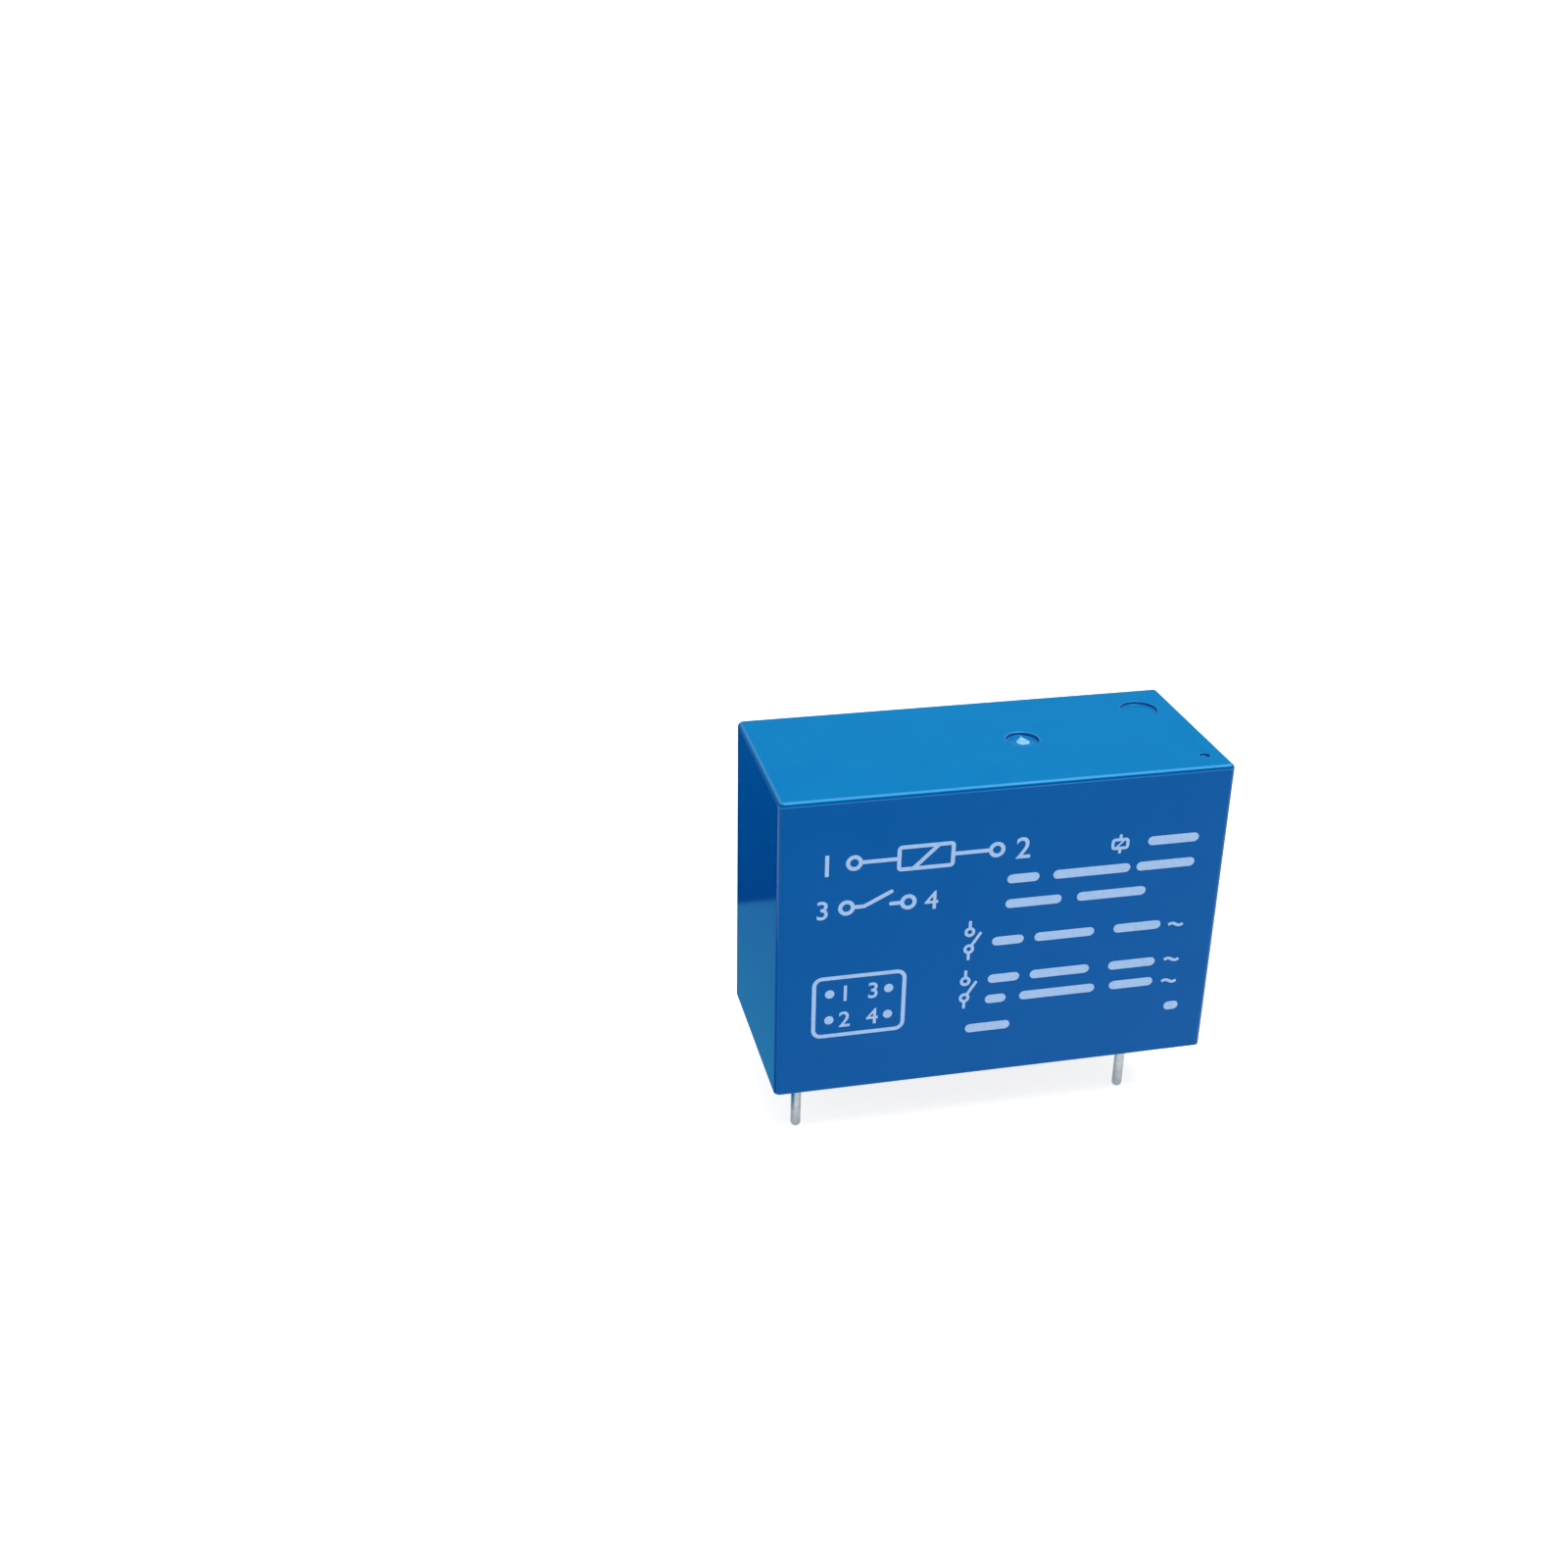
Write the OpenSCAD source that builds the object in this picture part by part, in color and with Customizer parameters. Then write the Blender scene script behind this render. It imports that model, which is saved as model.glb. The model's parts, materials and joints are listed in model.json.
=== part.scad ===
// Sealed power relay for circuit boards, one normally open contact.
// Millimetres. X runs along the length, from the coil end to the contact end, Y from the printed
// front face to the back, Z up. The origin is the centre of the cover's rim on the seating plane.
// The model stands with its coil off: the armature is up and the contacts are apart.

/* [Cover] */
// Length of the cover, along X
cover_l = 29; // [28:0.1:31]
// Width of the cover, along Y
cover_w = 12.6; // [12.2:0.1:13.6]
// Height of the cover above its rim
cover_h = 20.6; // [20:0.1:23]
// Thickness of the side walls
cover_wall = 0.8; // [0.6:0.05:0.95]
// Thickness of the top wall
cover_top = 0.9; // [0.6:0.05:1.2]
// Radius of the upright corner edges
corner_r = 0.4; // [0.3:0.05:0.75]
// Radius of the edges round the top
top_edge_r = 0.35; // [0.3:0.05:0.8]
// Radius of the upright corners inside the cover
cavity_r = 0.1; // [0.05:0.05:0.3]

/* [Moulding marks on the top] */
// Diameter of the round recess at the moulding gate
gate_d = 2.4; // [2:0.1:3.5]
// Depth of the gate recess
gate_depth = 0.25; // [0.1:0.05:0.4]
// Diameter of the broken-off gate at its foot
gate_nub_d = 1.1; // [0.8:0.1:1.6]
// Diameter of the broken-off gate at its top
gate_nub_top_d = 0.6; // [0.3:0.1:0.7]
// Height of the broken-off gate
gate_nub_h = 0.2; // [0.05:0.05:0.25]
// Distance of the gate from the middle, towards the contact end
gate_x = 2.9; // [0:0.1:6]
// Diameter of the shallow ejector mark
mark_d = 2.6; // [1.5:0.1:3]
// Depth of the ejector mark
mark_depth = 0.12; // [0.05:0.01:0.3]
// Distance of the ejector mark from the contact end
mark_inset_x = 2.2; // [2.2:0.1:5]
// Distance of the ejector mark from the back face
mark_inset_y = 2.9; // [2.4:0.1:4.5]
// Diameter of the blind vent dimple
vent_d = 0.7; // [0.4:0.1:1.2]
// Depth of the vent dimple
vent_depth = 0.3; // [0.2:0.05:0.5]
// Distance of the vent dimple from the contact end
vent_inset_x = 1.4; // [1.4:0.1:3]
// Distance of the vent dimple from the front face
vent_inset_y = 2.0; // [1.4:0.1:4]

/* [Pins] */
// Diameter of the four pins
pin_d = 0.65; // [0.6:0.05:1]
// Length of the pins below the rim
pin_len = 4.3; // [3:0.1:5]
// Step from a pin out to its thicker shank inside the resin
shank_step = 0.2; // [0.18:0.01:0.25]
// Distance below the rim where a pin starts to widen towards its shank
shoulder_drop = 0.2; // [0.15:0.05:0.4]
// Width that a terminal's foot keeps on each side of its shank
foot_margin = 0.1; // [0.05:0.05:0.2]
// Distance between the two pins of a row, along Y
pin_pitch = 7.5; // [7.2:0.1:7.8]
// Distance between the coil row and the contact row, along X
pin_rows = 22.5; // [21.8:0.1:23.2]
// Distance of the coil row from the cover's end
coil_pin_inset = 2; // [1.9:0.05:2.3]
// Height of the coil pins' winding posts above the bobbin's lower flange
post_h = 2.2; // [1.6:0.1:3]

/* [Underside] */
// Depth of the sealing resin's face inside the rim
resin_recess = 0.35; // [0.1:0.05:0.6]
// Thickness of the sealing resin
resin_t = 1; // [0.6:0.1:1.4]
// Diameter of the resin mound round a pin
mound_d = 2.2; // [1.6:0.1:2.6]
// Height of the resin mound round a pin
mound_h = 0.3; // [0.1:0.05:0.35]

/* [Base] */
// Thickness of the base plate
base_t = 1.6; // [1.2:0.1:2]
// Thickness of the wall between coil and contacts
barrier_t = 1; // [0.8:0.1:1.3]
// Height of that wall above the push card's window
barrier_rise = 1.4; // [0.8:0.1:2]
// Wall thickness of the sockets that hold the terminals
socket_wall = 0.8; // [0.5:0.1:1]
// Height of the terminal sockets
socket_h = 0.7; // [0.4:0.1:0.8]
// Thickness of the rails beside the yoke's foot
rail_t = 0.7; // [0.5:0.1:0.9]
// Height of the rails
rail_h = 0.7; // [0.4:0.1:1]

/* [Magnet] */
// Thickness of the yoke
yoke_t = 1.4; // [1.2:0.1:1.6]
// Width of the yoke
yoke_w = 8; // [7.4:0.1:8.2]
// Distance from the yoke's foot end to the coil's axis
yoke_foot_l = 5.1; // [4:0.1:5.5]
// Outer radius of the yoke's bend
yoke_bend_r = 1.2; // [0.6:0.1:1.3]
// Height of the two lugs that keep the armature in line
lug_h = 0.9; // [0.5:0.1:1.2]
// Diameter of the core
core_d = 5; // [4.4:0.1:5.4]
// Diameter of the core's tenon in the yoke
tenon_d = 3; // [2.4:0.1:3.6]
// Diameter of the pole disc
pole_d = 8; // [7:0.1:8.6]
// Thickness of the pole disc
pole_t = 0.85; // [0.6:0.05:1.1]
// Chamfer round the pole disc
pole_edge = 0.2; // [0.1:0.05:0.3]
// Thickness of the armature
armature_t = 1.2; // [1:0.1:1.3]
// Width of the armature over the coil
armature_w = 7.8; // [7:0.1:8.2]
// Width of the armature's neck and leg
leg_w = 5; // [4:0.1:5.2]
// Length of the armature from its hinge axis to its free end
armature_l = 11.1; // [10:0.1:11.6]
// Angle that the armature swings through
open_deg = 5; // [4:0.1:5.5]
// Depth of the hinge axis below the inside of the cover's top
hinge_drop = 3.5; // [3.3:0.1:4]

/* [Coil] */
// Outer diameter of the bobbin's tube
tube_d = 6.4; // [6:0.1:6.8]
// Thickness of the bobbin's flanges
flange_t = 0.9; // [0.7:0.05:1.1]
// Radius of the flanges' corners
flange_r = 1; // [0.6:0.1:1.4]
// How far the flanges stand out past the winding, along X
flange_lip = 0.55; // [0.3:0.05:0.6]
// How far the winding stays inside the flanges, along Y
winding_inset = 0.05; // [0.02:0.01:0.3]
// Visible diameter of the winding's wire
wire_d = 0.25; // [0.2:0.01:0.4]
// Diameter of the coil's lead wires
lead_d = 0.22; // [0.15:0.01:0.3]
// Turns of each lead round its post
lead_turns = 4; // [2:1:5]
// Gap between those turns
lead_gap = 0.05; // [0.03:0.01:0.1]

/* [Push card and contacts] */
// Thickness of the push card
card_t = 1.2; // [1:0.1:1.4]
// Width of the push card
card_w = 5.6; // [4.6:0.1:6]
// Depth of the push card's axis below the hinge axis
card_drop = 4.7; // [4.4:0.1:5]
// Thickness of the contact spring
spring_t = 0.2; // [0.15:0.01:0.3]
// Width of the contact spring at its foot
spring_foot_w = 4.5; // [4.2:0.1:5]
// Width of the contact spring at its tip
spring_tip_w = 3.8; // [3.4:0.1:4.2]
// Height of the spring's flexing line above the base
flex_h = 2.55; // [2.4:0.05:3]
// Diameter of the contact heads
contact_d = 3; // [2.4:0.1:3.2]
// Height of the contact heads
head_t = 0.7; // [0.6:0.05:0.9]
// Radius of the moving contact's domed face
dome_r = 4; // [3:0.1:6]
// Diameter of the contacts' shanks
shank_d = 1.5; // [1.2:0.1:1.8]
// Depth of the contacts below the hinge axis
contact_drop = 1.6; // [1.2:0.1:2]
// Thickness of the two contact terminals
plate_t = 0.6; // [0.5:0.05:0.8]
// Height of the common terminal's plate above the base
common_h = 4.05; // [3.8:0.05:5]
// Diameter of the spring rivets' shanks
rivet_d = 1; // [0.7:0.1:1.2]
// Distance between the two spring rivets
rivet_pitch = 2.4; // [2:0.1:2.6]
// Height of the rivets and shank tails above their plates
clinch_t = 0.3; // [0.2:0.05:0.4]

/* [Return spring] */
// Outer diameter of the return spring
coil_spring_d = 1.2; // [1:0.05:1.3]
// Wire diameter of the return spring
coil_spring_wire = 0.2; // [0.14:0.01:0.24]
// Turns of the return spring
coil_spring_turns = 18; // [10:1:20]
// Height of the yoke's spring tab above the base
tab_rise = 4.2; // [3.5:0.1:5]
// Thickness of the yoke's spring tab
tab_t = 0.8; // [0.6:0.1:1]
// Depth of the spring hole in the armature's ear below the hinge axis
ear_drop = 1.1; // [0.9:0.1:1.3]
// Metal left round the holes that the spring hooks into
ear_margin = 0.35; // [0.25:0.05:0.4]

/* [Clearances] */
// Running gap at the hinge and at both ends of the push card
run_gap = 0.03; // [0.02:0.01:0.05]
// Gap between the cover's walls and what stands inside them
wall_gap = 0.1; // [0.05:0.01:0.2]
// Gap between the return spring and the cover's back wall
spring_wall_gap = 0.4; // [0.35:0.05:0.5]
// Gap round pins, shanks and the guided card
hole_gap = 0.03; // [0.01:0.01:0.04]
// Gap between the winding and its bobbin
winding_gap = 0.03; // [0.01:0.01:0.06]
// Gap left between the pole and the closed armature
residual_gap = 0.08; // [0.05:0.01:0.12]
// Gap left between the contacts in the closed position
closed_gap = 0.03; // [0.02:0.01:0.05]
// Gap between the bobbin's flange and the yoke
yoke_gap = 0.45; // [0.3:0.05:0.6]
// Gap between the armature's neck and the lugs
lug_gap = 0.25; // [0.15:0.05:0.4]

/* [Hidden] */
$fn = 64;

// Overshoot of a cut past the face it opens
cut = 0.5;
// Straight pieces in each turn of a wire
turn_steps = 10;
// Side direction that a wire's outline starts from, along which no wire runs
first_side = [0.31, 0.52, 0.79];

// Inside of the cover
cavity_l = cover_l - 2 * cover_wall;
cavity_w = cover_w - 2 * cover_wall;
cavity_h = cover_h - cover_top;

// Pin places
pin_r = pin_d / 2;
shank_r = pin_r + shank_step;
pin_hole_r = pin_r + hole_gap;
shank_hole_r = shank_r + hole_gap;
shoulder_h = shoulder_drop + resin_recess;
coil_pin_x = -cover_l / 2 + coil_pin_inset;
contact_pin_x = coil_pin_x + pin_rows;
pin_y = pin_pitch / 2;

// Levels from the rim upwards
mound_z = resin_recess - mound_h;
base_z = resin_recess + resin_t;
base_top = base_z + base_t;
yoke_top = base_top + yoke_t;
lower_flange_top = yoke_top + flange_t;

// Levels from the hinge axis, which hangs from the cover's top
hinge_z = cavity_h - hinge_drop;
nose_r = yoke_t / 2;
bend_r = nose_r + run_gap;
pole_z = hinge_z + bend_r - residual_gap;
upper_flange_top = pole_z - pole_t;
upper_flange_z = upper_flange_top - flange_t;
card_z = hinge_z - card_drop;
contact_z = hinge_z - contact_drop;
flex_z = base_top + flex_h;

// Bobbin, coil and yoke along X
flange_w = cavity_w - 2 * wall_gap;
winding_d = flange_w - 2 * winding_inset;
flange_l = winding_d + 2 * flange_lip;
block_half = coil_pin_inset - cover_wall - 2 * wall_gap;
flange_x = coil_pin_x + block_half;
coil_x = flange_x + flange_l / 2;
yoke_x = flange_x + flange_l + yoke_gap;
yoke_face_x = yoke_x + yoke_t;
hinge_x = yoke_x + nose_r;

// Reach of the armature's leg, push card and contact spring, worked out for the closed position
leg_out = bend_r + armature_t;
leg_face_x = hinge_x + leg_out;
leg_bottom = card_z - card_t / 2;
card_r = card_t / 2;
card_reach = leg_out + run_gap + card_r;
card_travel = (card_reach + card_drop * sin(open_deg)) / cos(open_deg) - card_reach;
leaf_offset = spring_t / 2 + run_gap + card_r;
leaf_arm = card_z - flex_z;
leaf_left = leaf_offset - card_travel;
flex_deg = asin(leaf_offset / norm([leaf_arm, leaf_left])) - atan2(leaf_left, leaf_arm);
dome_centre = spring_t / 2 + head_t - dome_r;
closed_reach = dome_centre * cos(flex_deg) + (contact_z - flex_z) * sin(flex_deg) + dome_r;

// Contact set along X, hung from the contact pins
open_x = contact_pin_x - plate_t / 2;
flex_x = open_x - head_t - closed_gap - closed_reach;
spring_x = flex_x - spring_t / 2;
common_x = spring_x - plate_t;
card_x = leg_face_x + run_gap;
card_end_x = spring_x - run_gap;
barrier_x = (leg_face_x + common_x - barrier_t) / 2;

// Contact terminals across
foot_w = 2 * (shank_r + foot_margin);
socket_half = spring_foot_w / 2 + socket_wall / 2;
spring_foot_z = base_top + socket_h + hole_gap;
rivet_z = spring_foot_z + rivet_d;

// Return spring between the yoke's tab and the armature's ear
spring_x_axis = yoke_face_x + (barrier_x - yoke_face_x) / 2;
spring_y_axis = cavity_w / 2 - spring_wall_gap - coil_spring_d / 2;
tab_z = base_top + tab_rise;
ear_z = hinge_z - ear_drop;
hook_hole_d = 2.5 * coil_spring_wire;
ear_half = hook_hole_d / 2 + ear_margin;

// Rounded rectangle, centred
module rounded_rect(l, w, r) {
    square([l - 2 * r, w], center = true);
    square([l, w - 2 * r], center = true);
    for (x = [-1, 1], y = [-1, 1])
        translate([x * (l / 2 - r), y * (w / 2 - r)])
            circle(r);
}

// Upright profile with its two top corners rounded, standing on the X axis
module cap_profile(w, h, r) {
    translate([-w / 2, -cut])
        square([w, h - r + cut]);
    translate([r - w / 2, 0])
        square([w - 2 * r, h]);
    for (x = [-1, 1])
        translate([x * (w / 2 - r), h - r])
            circle(r);
}

// Box from its low corner to its high corner
module span(low, high) {
    translate(low)
        cube(high - low);
}

// Extrudes an outline drawn with Y across and Z up into a plate that starts at x
module upright_plate(x, t) {
    translate([x, 0, 0])
        rotate([90, 0, 90])
            linear_extrude(t)
                children();
}

// Round bar along X
module bar_x(x, y, z, d, l) {
    translate([x, y, z])
        rotate([0, 90, 0])
            cylinder(d = d, h = l);
}

// Round pin with a domed tip, and a shoulder that widens it to its shank, up to a level
module pin_to(x, y, top) {
    translate([x, y, 0])
        rotate_extrude() {
            intersection() {
                translate([0, pin_r - pin_len])
                    circle(pin_r);
                translate([0, -pin_len])
                    square([pin_r, pin_len]);
            }
            translate([0, pin_r - pin_len])
                square([pin_r, pin_len - pin_r - shoulder_drop]);
            polygon([[0, -shoulder_drop], [pin_r, -shoulder_drop], [shank_r, resin_recess], [shank_r, top],
                     [0, top]]);
        }
}

// Places its children at each of the four pins
module at_pins() {
    for (x = [coil_pin_x, contact_pin_x], y = [-pin_y, pin_y])
        translate([x, y, 0])
            children();
}

function unit(v) = v / norm(v);

function tangent(path, i) =
    unit(path[min(i + 1, len(path) - 1)] - path[max(i - 1, 0)]);

function turned(u, t) = unit(u - (u * t) * t);

// Side directions along a path, each turned as little as possible from the one before
function side_directions(path) = [
    for (i = 0, u = turned(first_side, tangent(path, 0));
         i < len(path);
         i = i + 1, u = turned(u, tangent(path, min(i, len(path) - 1))))
        u
];

// Round wire of diameter d along a path
module wire(path, d, sides = 6) {
    across = side_directions(path);
    n = len(path);
    points = [
        for (i = [0 : n - 1], k = [0 : sides - 1])
            path[i] + d / 2 * (cos(k * 360 / sides) * across[i]
                               + sin(k * 360 / sides) * cross(tangent(path, i), across[i]))
    ];
    walls = [
        for (i = [0 : n - 2], k = [0 : sides - 1])
            let (a = i * sides + k, b = i * sides + (k + 1) % sides)
                each [[a, a + sides, b], [b, a + sides, b + sides]]
    ];
    first_end = [for (k = [0 : sides - 1]) k];
    last_end = [for (k = [sides - 1 : -1 : 0]) (n - 1) * sides + k];
    polyhedron(points, concat([first_end], walls, [last_end]));
}

// Moulded shell, open below, with the gate, ejector mark and vent dimple on its top
module cover() {
    color("#0f6fb8")
        difference() {
            intersection() {
                linear_extrude(cover_h + cut)
                    rounded_rect(cover_l, cover_w, corner_r);
                rotate([90, 0, 0])
                    linear_extrude(cover_w + 2 * cut, center = true)
                        cap_profile(cover_l, cover_h, top_edge_r);
                rotate([90, 0, 90])
                    linear_extrude(cover_l + 2 * cut, center = true)
                        cap_profile(cover_w, cover_h, top_edge_r);
            }
            translate([0, 0, -cut])
                linear_extrude(cavity_h + cut)
                    rounded_rect(cavity_l, cavity_w, cavity_r);
            translate([gate_x, 0, cover_h - gate_depth])
                difference() {
                    cylinder(d = gate_d, h = gate_depth + cut);
                    cylinder(d1 = gate_nub_d, d2 = gate_nub_top_d, h = gate_nub_h);
                }
            translate([cover_l / 2 - mark_inset_x, cover_w / 2 - mark_inset_y, cover_h - mark_depth])
                cylinder(d = mark_d, h = mark_depth + cut);
            translate([cover_l / 2 - vent_inset_x, vent_inset_y - cover_w / 2, cover_h - vent_depth])
                cylinder(d = vent_d, h = vent_depth + cut);
        }
}

// Poured seal under the base, with a small mound round each pin
module sealing_resin() {
    reach = mound_d / 2 - shank_hole_r;
    hollow_r = (reach * reach + mound_h * mound_h) / (2 * mound_h);
    color("#2b2a30")
        difference() {
            union() {
                translate([0, 0, resin_recess])
                    linear_extrude(resin_t)
                        rounded_rect(cavity_l, cavity_w, cavity_r);
                at_pins()
                    rotate_extrude()
                        difference() {
                            translate([0, mound_z])
                                square([mound_d / 2, mound_h + resin_t / 2]);
                            translate([mound_d / 2, resin_recess - hollow_r])
                                circle(hollow_r);
                        }
            }
            at_pins() {
                translate([0, 0, -shoulder_drop])
                    cylinder(r1 = pin_hole_r, r2 = shank_hole_r, h = shoulder_h);
                translate([0, 0, resin_recess])
                    cylinder(r = shank_hole_r, h = resin_t + cut);
            }
        }
}

// Socket on the base that holds a terminal plate on its edge
module socket(x, low_y, high_y, slot_low, slot_high) {
    difference() {
        span([x - socket_wall, low_y, base_top - cut],
             [x + plate_t + socket_wall, high_y, base_top + socket_h]);
        span([x - hole_gap, slot_low, base_top],
             [x + plate_t + hole_gap, slot_high, base_top + socket_h + cut]);
    }
}

// Moulded base: floor, barrier wall with the push card's window, sockets and yoke rails
module base() {
    color("#3a3733")
        difference() {
            union() {
                translate([0, 0, base_z])
                    linear_extrude(base_t)
                        rounded_rect(cavity_l - 2 * wall_gap, cavity_w - 2 * wall_gap, cavity_r);
                difference() {
                    span([barrier_x, wall_gap - cavity_w / 2, base_z + base_t / 2],
                         [barrier_x + barrier_t, cavity_w / 2 - wall_gap,
                          card_z + card_r + barrier_rise]);
                    span([barrier_x - cut, -card_w / 2 - hole_gap, card_z - card_r - hole_gap],
                         [barrier_x + barrier_t + cut, card_w / 2 + hole_gap,
                          card_z + card_r + hole_gap]);
                }
                socket(common_x, -socket_half, socket_half,
                       -socket_half - cut, spring_foot_w / 2 + hole_gap);
                socket(open_x, -socket_half, socket_half,
                       -spring_tip_w / 2 - hole_gap, socket_half + cut);
                for (side = [-1, 1])
                    translate([0, side * (yoke_w / 2 + hole_gap + rail_t / 2), 0])
                        span([coil_x - yoke_foot_l, -rail_t / 2, base_top - cut],
                             [yoke_x - yoke_bend_r, rail_t / 2, base_top + rail_h]);
            }
            at_pins()
                cylinder(r = shank_hole_r, h = base_top + cut);
        }
}

// Coil former: tube, two flanges and the block that holds the coil pins
module bobbin() {
    color("#d9d4c4")
        difference() {
            union() {
                translate([coil_x, 0, yoke_top])
                    linear_extrude(flange_t)
                        rounded_rect(flange_l, flange_w, flange_r);
                translate([coil_x, 0, upper_flange_z])
                    linear_extrude(flange_t)
                        rounded_rect(flange_l, flange_w, flange_r);
                translate([coil_x, 0, yoke_top + flange_t / 2])
                    cylinder(d = tube_d, h = upper_flange_z - yoke_top);
                span([coil_pin_x - block_half, -flange_w / 2, base_top],
                     [coil_pin_x + block_half, flange_w / 2, lower_flange_top]);
                span([coil_pin_x, flange_r - flange_w / 2, yoke_top],
                     [flange_x + flange_r, flange_w / 2 - flange_r, lower_flange_top]);
            }
            translate([coil_x, 0, yoke_top - cut])
                cylinder(d = core_d + 2 * hole_gap, h = upper_flange_top - yoke_top + 2 * cut);
            for (side = [-1, 1])
                translate([coil_pin_x, side * pin_y, base_top - cut])
                    cylinder(r = shank_hole_r, h = lower_flange_top - base_top + 2 * cut);
        }
}

// Enamelled winding, with a ridge for each turn of its outer layer
module coil_winding() {
    low = lower_flange_top + winding_gap;
    high = upper_flange_z - winding_gap;
    turns = round((high - low) / wire_d);
    step = (high - low) / turns;
    inner = tube_d / 2 + winding_gap;
    color("#b4622d")
        translate([coil_x, 0, 0])
            rotate_extrude()
                polygon(concat(
                    [[inner, high], [inner, low]],
                    [for (i = [0 : turns - 1])
                        each [[winding_d / 2 - wire_d / 4, low + i * step],
                              [winding_d / 2, low + (i + 0.5) * step]]],
                    [[winding_d / 2 - wire_d / 4, high]]
                ));
}

// Iron core: tenon in the yoke, shank in the bobbin, pole disc on top
module core() {
    color("#a9abad")
        translate([coil_x, 0, 0])
            rotate_extrude()
                polygon([
                    [0, base_top],
                    [tenon_d / 2, base_top],
                    [tenon_d / 2, yoke_top],
                    [core_d / 2, yoke_top],
                    [core_d / 2, upper_flange_top],
                    [pole_d / 2, upper_flange_top],
                    [pole_d / 2, pole_z - pole_edge],
                    [pole_d / 2 - pole_edge, pole_z],
                    [0, pole_z]
                ]);
}

// Bent iron yoke: foot under the coil, leg beside it with a round top, lugs and spring tab
module yoke() {
    lug_y = leg_w / 2 + lug_gap;
    color("#b8babc")
        difference() {
            union() {
                rotate([90, 0, 0])
                    linear_extrude(yoke_w, center = true) {
                        translate([coil_x - yoke_foot_l, base_top])
                            square([yoke_face_x - yoke_bend_r - coil_x + yoke_foot_l, yoke_t]);
                        translate([yoke_x, base_top + yoke_bend_r])
                            square([yoke_t, hinge_z - base_top - yoke_bend_r]);
                        intersection() {
                            translate([yoke_face_x - yoke_bend_r, base_top + yoke_bend_r])
                                circle(yoke_bend_r);
                            translate([yoke_face_x - yoke_bend_r, base_top])
                                square(yoke_bend_r);
                        }
                        translate([yoke_x, base_top + yoke_t / 2])
                            square([yoke_t - yoke_bend_r, yoke_t]);
                        translate([hinge_x, hinge_z])
                            circle(nose_r);
                    }
                for (side = [-1, 1])
                    translate([0, side * (lug_y + yoke_w / 2) / 2, 0])
                        span([yoke_x, lug_y / 2 - yoke_w / 4, hinge_z - nose_r],
                             [yoke_face_x, yoke_w / 4 - lug_y / 2, hinge_z + nose_r + lug_h]);
                span([yoke_x, yoke_w / 2 - tab_t, tab_z],
                     [spring_x_axis + ear_half, spring_y_axis + ear_half, tab_z + tab_t]);
            }
            translate([coil_x, 0, base_top - cut])
                cylinder(d = tenon_d + 2 * hole_gap, h = yoke_t + 2 * cut);
            translate([spring_x_axis, spring_y_axis, tab_z - cut])
                cylinder(d = hook_hole_d, h = tab_t + 2 * cut);
        }
}

// Profile of the armature's neck, bend and leg, seen from the front with the hinge axis at the origin
module armature_profile() {
    reach = 2 * leg_out;
    difference() {
        intersection() {
            circle(leg_out);
            polygon([[0, 0], [reach, 0], [reach, reach],
                     [reach * sin(open_deg), reach * cos(open_deg)]]);
        }
        circle(bend_r);
    }
    rotate(-open_deg)
        translate([-armature_l, bend_r])
            square([armature_l, armature_t]);
    translate([bend_r, leg_bottom - hinge_z])
        square([armature_t, hinge_z - leg_bottom]);
}

// Bent iron armature that rocks on the yoke's round top, drawn open
module armature() {
    shoulder = nose_r + 2 * lug_gap;
    color("#9fa3a7")
        difference() {
            union() {
                translate([hinge_x, 0, hinge_z])
                    rotate([90, 0, 0])
                        linear_extrude(leg_w, center = true)
                            armature_profile();
                translate([hinge_x, 0, hinge_z])
                    rotate([0, open_deg, 0])
                        span([-armature_l, -armature_w / 2, bend_r],
                             [-shoulder, armature_w / 2, leg_out]);
                span([hinge_x + bend_r, leg_w / 2 - cut, ear_z - ear_half],
                     [leg_face_x, spring_y_axis + ear_half, ear_z + ear_half]);
            }
            bar_x(hinge_x, spring_y_axis, ear_z, hook_hole_d, leg_out + cut);
        }
}

// Small tension spring that pulls the armature's ear down and opens it
module return_spring() {
    r = (coil_spring_d - coil_spring_wire) / 2;
    x = spring_x_axis;
    y = spring_y_axis;
    lower_hook = 3 * coil_spring_wire;
    upper_hook = 2 * coil_spring_wire;
    low = tab_z + tab_t + lower_hook;
    high = ear_z - ear_half - upper_hook;
    pieces = coil_spring_turns * turn_steps;
    hook_x = leg_face_x + 1.5 * coil_spring_wire;
    tab_end = [[x - r, y, tab_z - coil_spring_wire],
               [x - r / 2, y, tab_z - coil_spring_wire],
               [x, y, tab_z],
               [x, y, tab_z + tab_t + coil_spring_wire]];
    helix = [for (i = [0 : pieces])
        [x + r * cos(360 * i / turn_steps), y + r * sin(360 * i / turn_steps),
         low + (high - low) * i / pieces]];
    ear_end = [[hook_x + r / 2, y + r / 3, high + coil_spring_wire],
               [hook_x, y, ear_z - coil_spring_wire],
               [hook_x - coil_spring_wire, y, ear_z],
               [hinge_x + bend_r - coil_spring_wire, y, ear_z]];
    color("#c9cbcd")
        wire(concat(tab_end, helix, ear_end), coil_spring_wire);
}

// Plastic bar with round ends that carries the armature's push across the barrier
module push_card() {
    color("#efece2")
        rotate([90, 0, 0])
            linear_extrude(card_w, center = true) {
                translate([card_x + card_r, card_z - card_r])
                    square([card_end_x - card_x - card_t, card_t]);
                for (x = [card_x + card_r, card_end_x - card_r])
                    translate([x, card_z])
                        circle(card_r);
            }
}

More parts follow.
